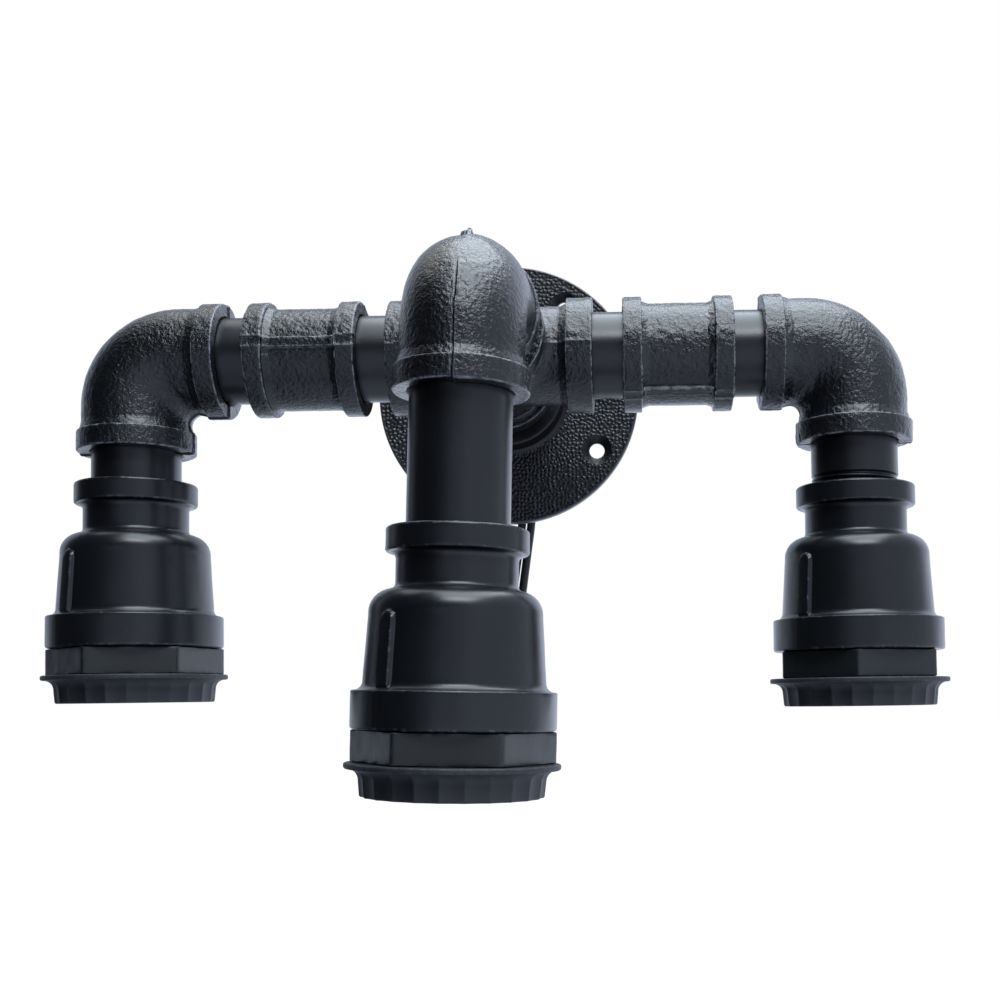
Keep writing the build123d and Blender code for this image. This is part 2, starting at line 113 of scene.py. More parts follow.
# %% [markdown]
# ## The two tail wires
#
# The light is wired from the wall, so two thin wires leave the connector, bend down behind the plate and
# hang there. A wire is a length of something springy: a smooth spline led by a few given points
# has its slack curves, where arcs joined to straight runs would look like bent rod. The insulation is
# stripped off the last few millimetres, and each bare end is its own small piece.

# %% Tail wires
WIRE_RADIUS = 1.5
TAIL_ROUTES = {
    "left_tail_wire": [
        (-3.1, -0.6, -1.0),
        (-3.1, 5.6, -1.0),
        (-2.6, 10.6, -3.9),
        (-1.3, 13.5, -9.1),
        (1.4, 14.05, -20.0),
        (3.8, 13.4, -38.6),
        (1.0, 12.0, -58.4),
        (-1.9, 11.0, -79.6),
        (-5.2, 11.6, -101.0),
        (-8.4, 13.4, -121.0),
    ],
    "right_tail_wire": [
        (3.1, -0.6, -1.0),
        (3.1, 5.6, -1.0),
        (3.4, 10.6, -3.9),
        (4.2, 13.4, -9.2),
        (5.6, 14.0, -19.6),
        (7.2, 13.4, -38.0),
        (4.4, 12.0, -58.0),
        (1.5, 11.0, -80.0),
        (-1.4, 11.8, -104.0),
        (-2.4, 13.2, -127.0),
    ],
}


def wire(name, route, radius):
    """A round wire along one NURBS spline of order 3 with the route's points as its control points.

    The bevel is 1 m deep and each point's own radius scales it, so that the curve's box fits the wire.
    """
    curve = bpy.data.curves.new(name, "CURVE")
    curve.dimensions = "3D"
    spline = curve.splines.new("NURBS")
    spline.points.add(len(route) - 1)
    for point, place in zip(spline.points, route):
        point.co = (*(MM * value for value in place), 1)
        point.radius = radius * MM
    spline.order_u = 3
    spline.use_endpoint_u = True
    spline.resolution_u = 12
    curve.bevel_depth = 1.0
    curve.bevel_resolution = 8
    curve.use_fill_caps = True
    return added(name, curve)


tails = {}
for name, route in TAIL_ROUTES.items():
    tails[name] = wire(name.replace("tail_wire", "tail"), route, WIRE_RADIUS)
    print(tails[name].name, len(route), "points")

# %% [markdown]
# ## Surfaces as grids
#
# Nearly every fitting is a grid: one direction runs round the casting and the other follows its outline,
# in over the outside and back through the bore, so that the grid closes on itself and the wall has its
# thickness. A grid makes even four-sided faces, and whole arrays can be bent, ribbed or roughened at once.
#
# Blender draws a face from its outer side. The volume that the faces enclose comes out negative when they
# point inwards, so the maker measures it and turns them if it has to.


# %% From a grid to a mesh
EDGE_BENDS, HOLLOW_BENDS = (0.35, 1.25), (0.12, 0.72)


def grid_faces(rows, columns, round_rows=True, round_columns=True):
    """The four corner numbers of each face between neighbouring grid points; a round direction closes."""
    row = np.arange(rows if round_rows else rows - 1)
    column = np.arange(columns if round_columns else columns - 1)
    row, column = np.meshgrid(row, column, indexing="ij")
    next_row, next_column = (row + 1) % rows, (column + 1) % columns
    corners = (
        row * columns + column,
        next_row * columns + column,
        next_row * columns + next_column,
        row * columns + next_column,
    )
    return np.stack(corners, axis=-1).reshape(-1, 4)


def share(low, high, value):
    """0 below low, 1 above high, and evenly in between."""
    return np.clip((value - low) / (high - low), 0, 1)


def unit(vectors):
    """Each vector divided by its own length."""
    vectors = np.asarray(vectors, float)
    return vectors / np.maximum(np.linalg.norm(vectors, axis=-1, keepdims=True), 1e-9)


def enclosed_volume(points, faces):
    """The sum over the faces' triangles of corner . (corner x corner) / 6."""
    a, b, c, d = (points[faces[:, k]] for k in range(4))
    return (np.cross(b, c) + np.cross(c, d)).ravel() @ a.ravel() / 6


def new_mesh(name, points, faces, marks=None, sharp_angle=40):
    """An object at the origin whose mesh has these points, in millimetres, and outward faces."""
    if enclosed_volume(points, faces) < 0:
        faces = faces[:, ::-1]
    mesh = bpy.data.meshes.new(name)
    mesh.from_pydata(points * MM, [], faces)
    for mark, values in (marks or {}).items():
        mesh.attributes.new(mark, "FLOAT", "POINT").data.foreach_set("value", values.ravel())
    mesh.shade_smooth()
    mesh.set_sharp_from_angle(angle=np.radians(sharp_angle))
    return added(name, mesh)


def grid_mesh(name, grid, closes=(True, True), marks=None, sharp_angle=40):
    """An object made from a grid whose rows and columns close or stay open."""
    return new_mesh(name, grid.reshape(-1, 3), grid_faces(*grid.shape[:2], *closes), marks, sharp_angle)


def bend_of(grid, axis):
    """How sharply a closed grid bends along one direction, per millimetre: positive where it is convex."""
    normal = grid_normals(grid)
    step = np.roll(grid, -1, axis) - np.roll(grid, 1, axis)
    turn = np.roll(normal, -1, axis) - np.roll(normal, 1, axis)
    return (turn * step).sum(-1) / np.maximum((step * step).sum(-1), 1e-4)


def grid_normals(grid):
    """Unit normals from the cross product of the two central differences, turned outwards."""
    along = np.roll(grid, -1, 0) - np.roll(grid, 1, 0)
    across = np.roll(grid, -1, 1) - np.roll(grid, 1, 1)
    return unit(np.cross(along, across)) * outward_sign(grid)


def outward_sign(grid):
    """Plus or minus one, whichever turns the grid's own normals outwards."""
    faces = grid_faces(*grid.shape[:2])
    return 1 if enclosed_volume(grid.reshape(-1, 3), faces) > 0 else -1


def wear_marks(grid):
    """Two marks from 0 to 1 for the finishes: edge where the form is crisp, hollow where it is pinched."""
    bend = np.stack([bend_of(grid, 0), bend_of(grid, 1)])
    return {
        "edge": share(*EDGE_BENDS, bend.max(0)),
        "hollow": share(*HOLLOW_BENDS, -bend.min(0)),
    }


print("a 4 by 4 grid has", len(grid_faces(4, 4)), "faces when both directions close")

# %% [markdown]
# ## Outlines and noise
#
# An outline is a short list of corners, each with the radius that its corner is rounded to. Sand casting
# leaves a skin of soft lumps a millimetre or two across. Random heights on a cubic lattice, eased between
# the lattice's corners, give such lumps anywhere in space, so they don't pinch where a grid does.


# %% Helpers for shapes
def rounded(corners, spacing=0.9, arc_steps=5):
    """Points along an outline: straight runs between arcs tangent to them, for corners (x, y, radius)."""
    corners = np.array(corners, float)
    places, radii = corners[:, :2], corners[:, 2]
    stations = [places[:1]]
    for before, corner, after, radius in zip(places, places[1:], places[2:], radii[1:]):
        inward, outward = unit(before - corner), unit(after - corner)
        half_turn = np.arccos(np.clip(inward @ outward, -1, 1)) / 2
        if radius == 0:
            stations.append(corner[None])
            continue
        reach = radius / np.tan(half_turn)
        centre = corner + unit(inward + outward) * radius / np.sin(half_turn)
        first, last = corner + inward * reach - centre, corner + outward * reach - centre
        swing = np.arccos(np.clip(unit(first) @ unit(last), -1, 1))
        part = np.linspace(0, 1, arc_steps + 1)[:, None]
        arc = (np.sin((1 - part) * swing) * first + np.sin(part * swing) * last) / np.sin(swing)
        stations.append(centre + arc)
    return divided(np.concatenate([*stations, places[-1:]]), spacing)


def divided(stations, spacing):
    """The same line with each run cut into equal steps no longer than the spacing."""
    runs = np.linalg.norm(np.diff(stations, axis=0), axis=1)
    pieces = [
        np.linspace(start, end, max(1, int(np.ceil(run / spacing))), endpoint=False)
        for start, end, run in zip(stations, stations[1:], runs)
        if run > 1e-6
    ]
    return np.concatenate([*pieces, stations[-1:]])


def ease(low, high, value):
    """0 below low, 1 above high, and a smooth step between them."""
    part = share(low, high, value)
    return part * part * (3 - 2 * part)


def bump_of(distance, width):
    """A bell curve: 1 at no distance, falling to a third at this width."""
    return np.exp(-((distance / width) ** 2))


LATTICE_SIDE = 32
LATTICE = np.random.default_rng(7).uniform(-1, 1, (LATTICE_SIDE,) * 3)


def lumps(points, size, seed=0):
    """Random heights from -1 to 1 on a lattice of this size, blended by eased distance between them."""
    scaled = points / size + seed * 7.31
    cell = np.floor(scaled).astype(int)
    part = ease(0, 1, scaled - cell)
    height = 0
    for corner in itertools.product((0, 1), repeat=3):
        weight = np.where(corner, part, 1 - part).prod(-1)
        i, j, k = np.moveaxis((cell + corner) % LATTICE_SIDE, -1, 0)
        height = height + weight * LATTICE[i, j, k]
    return height


def swollen(grid, amount):
    """A closed grid with each point moved along its own normal by this many millimetres."""
    return grid + grid_normals(grid) * amount[..., None]


def casting_skin(grid, strength):
    """The height of a sand casting's skin: broad lumps of 3 mm, small ones of 1.4 mm and a few pits."""
    broad, fine = lumps(grid, 3.1), lumps(grid, 1.35, 3)
    pits = ease(0.72, 0.95, lumps(grid, 1.7, 5))
    return strength * (0.05 * broad + 0.06 * fine - 0.12 * pits)


print("noise between", round(LATTICE.min(), 2), "and", round(LATTICE.max(), 2))

# %% [markdown]
# ## Where the fittings stand
#
# The frame says where each head turns and which way its ring unscrews, and its meshes say how far a piece
# reaches. So the places are measured there, and only the sections are repeated here.

# %% Places
PIPE_RADIUS = 13.45
SOCKET_RADIUS, SOCKET_DEPTH, SOCKET_BREAK = 13.25, 12.4, 0.9
PASSAGE_RADIUS = 12.0
COLLAR_RADIUS, COLLAR_EDGE, ROOT_EDGE = 17.85, 0.45, 0.15
ELBOW_FACE = 29.0
X_WAY, Y_WAY, Z_WAY = np.eye(3)
ARM_WAYS = {"left": X_WAY, "right": -X_WAY, "front": Y_WAY}
joints = {joint["name"]: joint for joint in frame["joints"]}


def reach(node, start, way):
    """How far a CAD node reaches from a start point along a direction."""
    mesh = frame["nodes"][node].data
    places = np.empty(len(mesh.vertices) * 3, np.float32)
    mesh.vertices.foreach_get("co", places)
    return ((places.reshape(-1, 3) / MM - start) @ way).max()


class Head:
    """One lamp head: the way up, the way to its arm, its elbow's centre and the top of its bell."""

    def __init__(self, side):
        self.side = side
        self.arm = ARM_WAYS[side]
        self.up = -unit(joints[f"{side}_ring_unscrew"]["axis"])
        self.centre = np.array(joints[f"{side}_swivel"]["pos_m"]) / MM - self.arm * ELBOW_FACE
        self.bell_top = self.centre + self.up * reach(f"{side}_bell", self.centre, self.up)
        self.front = -Y_WAY
        self.beside = np.cross(self.up, self.front)

    def turned(self, radii, angles, depths):
        """Points round the head's axis: angle 0 is the front, and depth runs down from the bell's top."""
        across = direction(angles, self.front, self.beside)
        return self.bell_top + radii[..., None] * across - depths[..., None] * self.up


def middle_and_size(node):
    """The middle and the size of a CAD node's box."""
    low, high = (np.array(corner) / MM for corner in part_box(node))
    return (low + high) / 2, high - low


heads = [Head(side) for side in ARM_WAYS]
cross_centre, _ = middle_and_size("cross")
for head in heads:
    print(head.side, "elbow", head.centre.round(1), "bell top", head.bell_top.round(1))

# %% [markdown]
# ## Round pieces
#
# A revolved piece repeats its outline's two coordinates at each angle round the axis. Where a rib's edge
# crosses the grid, more angles are crowded in, so that the edge stays crisp without making every row finer.
# The elbows, the cross and the couplers all end in the same collared socket, so its corners are written
# once. Each finished piece is told what it rides on and which CAD node it stands for.

# %% Helpers for round pieces
def around(count, crowd=(), spread=0.03):
    """Angles round a full turn, as a column, with more of them crowded in at some places."""
    even = np.linspace(0, 2 * np.pi, count, endpoint=False)
    close = (np.array(crowd, float)[:, None] + spread * np.linspace(-1, 1, 9)).ravel() % (2 * np.pi)
    angles = np.sort(np.concatenate([even, close]))
    return angles[np.diff(angles, prepend=angles[-1] - 2 * np.pi) > spread / 12][:, None]


def spun(outline, angle):
    """An outline's two coordinates, each repeated as a row at every angle."""
    return outline[:, 0] + 0 * angle, outline[:, 1] + 0 * angle


def direction(angles, first, second):
    """The directions at these angles, measured from the first of two square directions to the second."""
    return np.cos(angles)[..., None] * first + np.sin(angles)[..., None] * second


def angle_from(angles, centre_degrees):
    """The signed angle from a direction, between minus and plus half a turn, in radians."""
    return (angles - np.radians(centre_degrees) + np.pi) % (2 * np.pi) - np.pi


def rib_edges(degrees, half_angle):
    """The angles of the four edges of two ribs that stand opposite each other."""
    middles = np.radians(degrees) + np.array([0, np.pi])
    return np.concatenate([middles - half_angle, middles + half_angle])


def rib_distance(angle, degrees, radius):
    """How far round, in millimetres, an angle lies from the nearer of two ribs opposite each other."""
    return np.abs((angle_from(angle, degrees) + np.pi / 2) % np.pi - np.pi / 2) * radius


def collared_socket(face, band, body_radius, flare, flare_radius, rise):
    """Corners (distance, radius, rounding) up a flared root, over the collar and down the socket."""
    back = face - band
    return [
        (back - flare, body_radius, flare_radius),
        (back, body_radius + rise, ROOT_EDGE),
        (back, COLLAR_RADIUS, COLLAR_EDGE),
        (face, COLLAR_RADIUS, COLLAR_EDGE),
        (face, SOCKET_RADIUS + SOCKET_BREAK, 0.3),
        (face - SOCKET_BREAK, SOCKET_RADIUS, 0),
        (face - SOCKET_DEPTH, SOCKET_RADIUS, 0),
        (face - SOCKET_DEPTH, PASSAGE_RADIUS, 0),
    ]


def add_piece(name, grid, body, slot, node, marks=None, sharp_angle=40):
    """A closed grid made a mesh that rides on a body and stands for a CAD node."""
    marks = wear_marks(grid) if marks is None else marks
    settle(grid_mesh(name, grid, marks=marks, sharp_angle=sharp_angle), body, slot, node)


def settle(piece, body, slot, *nodes):
    """Tell the frame what a piece rides on, which finish it takes and which nodes it stands for."""
    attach(piece, body)
    if nodes:
        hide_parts(*nodes)
    dressed.setdefault(slot, []).append(piece)
    print(piece.name, "rides on", body)


dressed = {}

# %% [markdown]
# ## Elbows
#
# A cast elbow is two short sockets joined by a bend. Sweeping a circle round the bend would fold the
# inside of the corner over itself, because the pipe is fatter than the bend's radius. Here each line
# along the casting has its own bend instead: it runs straight out of one mouth, turns about a centre that
# suits its own place on the section, and runs straight out of the other. The outer lines turn widely and
# the inner ones tightly, which is just the crease that the casting has.
#
# The mould's two halves never meet quite true. That leaves a raised and wandering seam in the elbow's own
# plane, with a small step and a crack beside it. The front elbow also keeps the broken stub of its gate.

# %% Elbow
ELBOW_RADIUS, ELBOW_COLLAR = 16.4, 6.2
ELBOW_BEND, INNER_BEND = 15.0, 4.0
SEAM_HEIGHT, STEP_HEIGHT, CRACK_DEPTH = 0.16, 0.34, 0.15
NIB_PLACE, NIB_HEIGHT = 4.3, 1.0
SEAM_SIDES = {"left": 1, "right": 1, "front": -1}
ELBOW_ROUGHNESS = {"left": 1.1, "right": 1.3, "front": 0.9}


def elbow_leg():
    """One leg's wall as (distance from the corner, radius), out over the collar and into the passage."""
    start = (ELBOW_FACE - ELBOW_COLLAR - 4.2, ELBOW_RADIUS, 0)
    mouth = collared_socket(ELBOW_FACE, ELBOW_COLLAR, ELBOW_RADIUS, flare=2.6, flare_radius=3.0, rise=0.75)
    heel = (ELBOW_FACE - SOCKET_DEPTH - 0.8, PASSAGE_RADIUS, 0)
    return rounded([start, *mouth, heel], spacing=0.6)


def elbow_grid(rows=264):
    """Lines along the casting at each angle round its section, crowded near the seam in its plane.

    A line at height h off the section's middle, towards the inner corner, turns about a point that is
    h + r along both legs, with r the larger of the bend's radius less h and the smallest inner bend.
    """
    angle = around(rows)
    angle = angle - 0.42 * np.sin(2 * angle)
    leg = elbow_leg()

    def bend_radius(height):
        slack = ELBOW_BEND - height - INNER_BEND
        return INNER_BEND + (slack + np.sqrt(slack**2 + 1.0)) / 2

    def on_leg(distance, radius):
        return distance + 0 * angle, -radius * np.cos(angle), radius * np.sin(angle)

    def inward_run(start, radius, steps):
        parts = np.linspace(0, 1, steps)[1:-1]
        height = -radius * np.cos(angle)
        stop = height + bend_radius(height)
        return start + (stop - start) * parts, height + 0 * parts, radius * np.sin(angle) + 0 * parts

    def on_bend(radius, steps):
        turns = np.linspace(0, np.pi / 2, steps)
        height = -radius * np.cos(angle)
        bend = bend_radius(height)
        middle = height + bend
        aside = radius * np.sin(angle) + 0 * turns
        return middle - bend * np.sin(turns), middle - bend * np.cos(turns), aside

    def backwards(part):
        return tuple(axis[:, ::-1] for axis in part)

    def swapped(part):
        return part[1], part[0], part[2]

    lip = on_leg(leg[:, 0], leg[:, 1])
    run = inward_run(leg[0, 0], ELBOW_RADIUS, 10)
    bore_run = inward_run(leg[-1, 0], PASSAGE_RADIUS, 4)
    outside = [backwards(lip), run, on_bend(ELBOW_RADIUS, 60), swapped(backwards(run)), swapped(lip)]
    inside = [swapped(bore_run), backwards(on_bend(PASSAGE_RADIUS, 16))]
    order = [backwards(bore_run), *outside, *inside]
    flags = [0.0] + [1.0] * len(outside) + [0.0] * len(inside)
    outer = np.concatenate([np.full(part[0].shape[1], flag) for part, flag in zip(order, flags)])
    local = np.stack([np.concatenate([part[k] for part in order], axis=1) for k in range(3)], axis=-1)
    return angle, local, outer


def gate_nib(grid, local):
    """The broken stub of the gate on the crown: a small table with ragged edges."""
    along = np.abs(local[..., 0] - NIB_PLACE) + 0.35 * lumps(grid, 0.9, 16)
    across = np.abs(local[..., 2]) + 0.2 * lumps(grid, 0.7, 17)
    table = ease(1.5, 1.15, across) * ease(1.9, 1.3, along) * (local[..., 1] < 0)
    return table * (NIB_HEIGHT + 0.45 * lumps(grid, 1.1, 18))


def cast_elbow(head):
    """The elbow with its wandering seam, the step and crack beside it, its skin and the front's nib."""
    angle, local, outer = elbow_grid()
    ways = np.stack([head.arm, -head.up, np.cross(head.arm, -head.up) * SEAM_SIDES[head.side]])
    grid = head.centre + local @ ways
    section = np.where(np.cos(angle) > 0, angle_from(angle, 0), angle_from(angle, 180))
    wander = 0.22 * lumps(grid, 4.0, 15) + 0.08 * lumps(grid, 1.3, 20)
    beside = np.sign(np.sin(angle)) * np.abs(ELBOW_RADIUS * section) - wander
    seam = SEAM_HEIGHT * bump_of(beside - 0.35, 0.3) * (1 + 0.7 * lumps(grid, 1.6, 9))
    step = STEP_HEIGHT * ease(-0.12, 0.16, beside) * ease(13, 1, beside)
    crack = CRACK_DEPTH * bump_of(beside + 0.2, 0.24) * (1 + 0.8 * lumps(grid, 1.2, 19))
    height = seam + step - crack + casting_skin(grid, ELBOW_ROUGHNESS[head.side])
    if head.side == "front":
        height = height + gate_nib(grid, local)
    beyond_crease = np.linalg.norm(local, axis=-1) > ELBOW_RADIUS * 0.7
    grid = swollen(grid, outer * beyond_crease * height)
    marks = wear_marks(grid)
    marks["edge"] = marks["edge"] * (1 - 0.9 * bump_of(beside, 0.9))
    return grid, marks


for head in heads:
    side = head.side
    grid, marks = cast_elbow(head)
    add_piece(f"{side}_cast_elbow", grid, f"{side}_head", "gloss_cast", f"{side}_elbow", marks)

# %% [markdown]
# ## Cross
#
# Four arms meet in one body. Two crossing tubes share an edge along the diagonals, and a casting rounds
# that edge. Each arm is a grid that starts on the diagonal. Its radius there is worked out from the
# rounded union of the two tubes: the union's edge is lifted by a fillet that fades out over the top and
# the bottom, where the tubes are tangent. Neighbouring arms then share their first points exactly, and
# merging those closes the body.

# %% Cross
CROSS_RADIUS = 15.35
CROSS_FACE, CROSS_COLLAR = 31.5, 8.1
CROSS_FILLET = 5.0


def rounded_union(own, other, fillet):
    """The larger of the fillet and the nearer distance, less how far both lie inside the fillet."""
    inside = np.hypot(np.maximum(fillet - own, 0), np.maximum(fillet - other, 0))
    return np.maximum(fillet, np.minimum(own, other)) - inside


def fillet_at(angle):
    """The fillet's radius round an arm: full at its sides, fading out over the top and the bottom."""
    return CROSS_FILLET * np.abs(np.cos(angle)) ** 0.7 + 1e-3


def arm_radius(station, angle):
    """The radius at which an arm meets the rounded union of both tubes, found by halving an interval."""
    low = np.full(np.broadcast(station, angle).shape, CROSS_RADIUS)
    high = low + CROSS_FILLET
    for _ in range(24):
        middle = (low + high) / 2
        other = np.hypot(station, middle * np.sin(angle)) - CROSS_RADIUS
        solid = rounded_union(middle - CROSS_RADIUS, other, fillet_at(angle)) < 0
        low, high = np.where(solid, middle, low), np.where(solid, high, middle)
    return middle


def cross_arm(rows=168):
    """One arm as (distance from the centre, radius) at each angle, from the outer diagonal to the inner."""
    angle = around(rows)
    start_radius = CROSS_RADIUS + fillet_at(angle) * (1 - np.sqrt(0.5))
    start = start_radius * np.abs(np.cos(angle))
    root = (CROSS_FACE - CROSS_COLLAR - 3.2, CROSS_RADIUS, 0)
    mouth = collared_socket(CROSS_FACE, CROSS_COLLAR, CROSS_RADIUS, flare=2.2, flare_radius=2.0, rise=0.9)
    lip = rounded([root, *mouth], spacing=0.7)
    body = start + (lip[0, 0] - start) * np.linspace(0, 1, 30)[:-1]
    inner_start = PASSAGE_RADIUS * np.abs(np.cos(angle))
    inner = inner_start + (lip[-1, 0] - inner_start) * np.linspace(1, 0, 6)[1:]
    lip_station, lip_radius = spun(lip, angle)
    station = np.concatenate([body, lip_station, inner], axis=1)
    radius = np.concatenate([arm_radius(body, angle), lip_radius, PASSAGE_RADIUS + 0 * inner], axis=1)
    radius[:, :1] = start_radius
    return angle, station, radius


def cast_cross():
    """Four arms that meet in their first rows, with the step and flash of a level seam."""
    angle, station, radius = cross_arm()
    sheets, marks = [], {"edge": [], "hollow": []}
    for along, aside in ((X_WAY, Y_WAY), (-X_WAY, Y_WAY), (Y_WAY, X_WAY), (-Y_WAY, X_WAY)):
        across = direction(angle, aside, Z_WAY)
        sheet = cross_centre + station[..., None] * along + radius[..., None] * across
        height = sheet[..., 2]
        seam = 0.2 * bump_of(height, 0.4) * (1 + 0.6 * lumps(sheet, 1.5, 4))
        step = 0.22 * (height > 0) * ease(9, 0, height)
        lift = (radius > CROSS_RADIUS - 0.01) * (seam + step + casting_skin(sheet, 1.2))
        outward = unit(sheet - cross_centre - station[..., None] * along)
        sheets.append(sheet + outward * lift[..., None])
        for mark, values in wear_marks(sheet).items():
            marks[mark].append(values)
    rows, columns = station.shape
    faces = [
        grid_faces(rows, columns, True, False)[:, :: (1 if k in (0, 3) else -1)] + k * rows * columns
        for k in range(4)
    ]
    marks = {mark: np.stack(values) for mark, values in marks.items()}
    return np.stack(sheets).reshape(-1, 3), np.concatenate(faces), marks


def welded(piece, distance=0.02):
    """Merge points closer than this many millimetres, then turn every face outwards."""
    work = bmesh.new()
    work.from_mesh(piece.data)
    bmesh.ops.remove_doubles(work, verts=work.verts, dist=distance * MM)
    bmesh.ops.dissolve_degenerate(work, edges=work.edges, dist=distance * MM / 4)
    bmesh.ops.recalc_face_normals(work, faces=work.faces)
    work.to_mesh(piece.data)
    work.free()
    return piece


cross_piece = welded(new_mesh("cast_cross", *cast_cross()))
settle(cross_piece, "fixture", "gloss_cast", "cross")
print(len(cross_piece.data.polygons), "faces on the cross")

# %% [markdown]
# ## Couplers
#
# Each coupler is a banded sleeve with two ribs that a wrench can bear on. They sit on the mould's parting
# line, so the collars show a step there too. The two couplers stopped at different angles when they were
# screwed up, so the ribs' direction is the only thing that differs between them.

# %% Couplers
COUPLER_RADIUS, COUPLER_COLLAR = 15.8, 5.8
RIB_WIDTH, RIB_HEIGHT = 2.9, 1.15
COUPLER_RIBS = {"left": 5, "right": -57}


def sleeve_outline(half):
    """Half of a coupler's wall, mirrored about its middle, as (distance from the middle, radius)."""
    mouth = collared_socket(half, COUPLER_COLLAR, COUPLER_RADIUS, flare=2.2, flare_radius=2.6, rise=0.7)
    side = rounded([(0, COUPLER_RADIUS, 0), *mouth, (0, PASSAGE_RADIUS, 0)], spacing=0.65)
    return np.concatenate([side, side[-2:0:-1] * (-1, 1)])


def cast_coupler(side, rows=176):
    """A revolved sleeve with two ribs, each a rounded table across its own width."""
    centre, size = middle_and_size(f"{side}_coupler")
    half = size[0] / 2
    ribs = COUPLER_RIBS[side]
    angle = around(rows, rib_edges(ribs, RIB_WIDTH / 2 / COUPLER_RADIUS))
    station, radius = spun(sleeve_outline(half), angle)
    outer = (radius > COUPLER_RADIUS - 0.01) * 1.0
    collar = half - COUPLER_COLLAR
    between = ease(collar + 0.4, collar - 0.6, np.abs(station))
    gap = rib_distance(angle, ribs, COUPLER_RADIUS)
    rib = RIB_HEIGHT * ease(RIB_WIDTH / 2 + 0.16, RIB_WIDTH / 2 - 0.16, gap) * between * outer
    above = angle_from(angle, ribs) > 0
    step = 0.2 * above * ease(14, 2, gap)
    collar_flash = 0.25 * bump_of(gap - RIB_WIDTH / 2, 0.5) * (1 - between)
    across = direction(angle, -Y_WAY, Z_WAY)
    grid = centre + station[..., None] * X_WAY + (radius + rib)[..., None] * across
    skin = casting_skin(grid, 0.9) + 0.12 * above * lumps(grid, 1.1, 8)
    grid = swollen(grid, outer * (skin * (1 - 0.6 * (rib > 0.5)) + step + collar_flash))
    marks = wear_marks(grid)
    # The ribs' edges join the edge mark, so the enamel paints a pale highlight along them.
    rib_edge = outer * between * bump_of(np.abs(gap - RIB_WIDTH / 2), 0.32)
    marks["edge"] = np.maximum(marks["edge"], rib_edge)
    return grid, marks


for side in COUPLER_RIBS:
    grid, marks = cast_coupler(side)
    add_piece(f"{side}_cast_coupler", grid, "fixture", "gloss_cast", f"{side}_coupler", marks)

# %% [markdown]
# ## Bells
#
# The bell is a reducing fitting: a small banded mouth, a waist, a round shoulder over a tapered body and a
# large banded mouth. It is smooth, because it was cast in a finer mould and painted satin. It is revolved
# from one outline. Two ribs are added where the mould parted, rounded at the top, and the parting shows as
# a hairline across the band.

# %% Bell
BELL_COLLAR_RADIUS, BELL_COLLAR = 18.4, 6.4
BELL_NECK_RADIUS, BELL_NECK_END = 15.75, 16.2
BELL_SHOULDER_RADIUS, BELL_SHOULDER_END = 22.3, 22.75
BELL_FOOT_RADIUS = 23.5
BELL_BAND_TOP, BELL_BAND_RADIUS, BELL_HEIGHT = 41.6, 26.3, 51.5
BELL_RIB_WIDTH, BELL_RIB_HEIGHT = 4.5, 1.2
BELL_THREAD_RADIUS, BELL_THREAD_DEPTH = 20.95, 15.0
BELL_WALL = 3.0
BELL_RIBS = {"left": -36, "right": -52, "front": -39}


def bell_outline():
    """The wall as (radius, depth below the bell's top), outside first and back up through the inside."""
    inside = BELL_SHOULDER_RADIUS - BELL_WALL
    ceiling = BELL_NECK_END + BELL_WALL
    thread_top = BELL_HEIGHT - BELL_THREAD_DEPTH
    outside_corners = [
        (SOCKET_RADIUS + SOCKET_BREAK, 0, 0),
        (BELL_COLLAR_RADIUS, 0, 0.8),
        (BELL_COLLAR_RADIUS, BELL_COLLAR, 0.7),
        (BELL_NECK_RADIUS, BELL_COLLAR, 1.8),
        (BELL_NECK_RADIUS, BELL_NECK_END - 0.5, 1.7),
        (BELL_SHOULDER_RADIUS - 0.05, BELL_NECK_END + 0.6, 6.0),
        (BELL_SHOULDER_RADIUS, BELL_SHOULDER_END, 0),
        (BELL_FOOT_RADIUS, BELL_BAND_TOP, 2.25),
        (BELL_BAND_RADIUS, BELL_BAND_TOP, 0.5),
        (BELL_BAND_RADIUS, BELL_HEIGHT, 0.8),
    ]
    inside_corners = [
        (BELL_THREAD_RADIUS, BELL_HEIGHT, 0),
        (BELL_THREAD_RADIUS, thread_top, 0),
        (inside, thread_top - 1, 0),
        (inside, ceiling, 3.0),
        (PASSAGE_RADIUS, ceiling, 0),
        (PASSAGE_RADIUS, SOCKET_DEPTH, 0),
        (SOCKET_RADIUS, SOCKET_DEPTH, 0),
        (SOCKET_RADIUS, SOCKET_BREAK, 0),
        (SOCKET_RADIUS + SOCKET_BREAK, 0, 0),
    ]
    return rounded(outside_corners + inside_corners, spacing=0.8, arc_steps=8)[:-1]


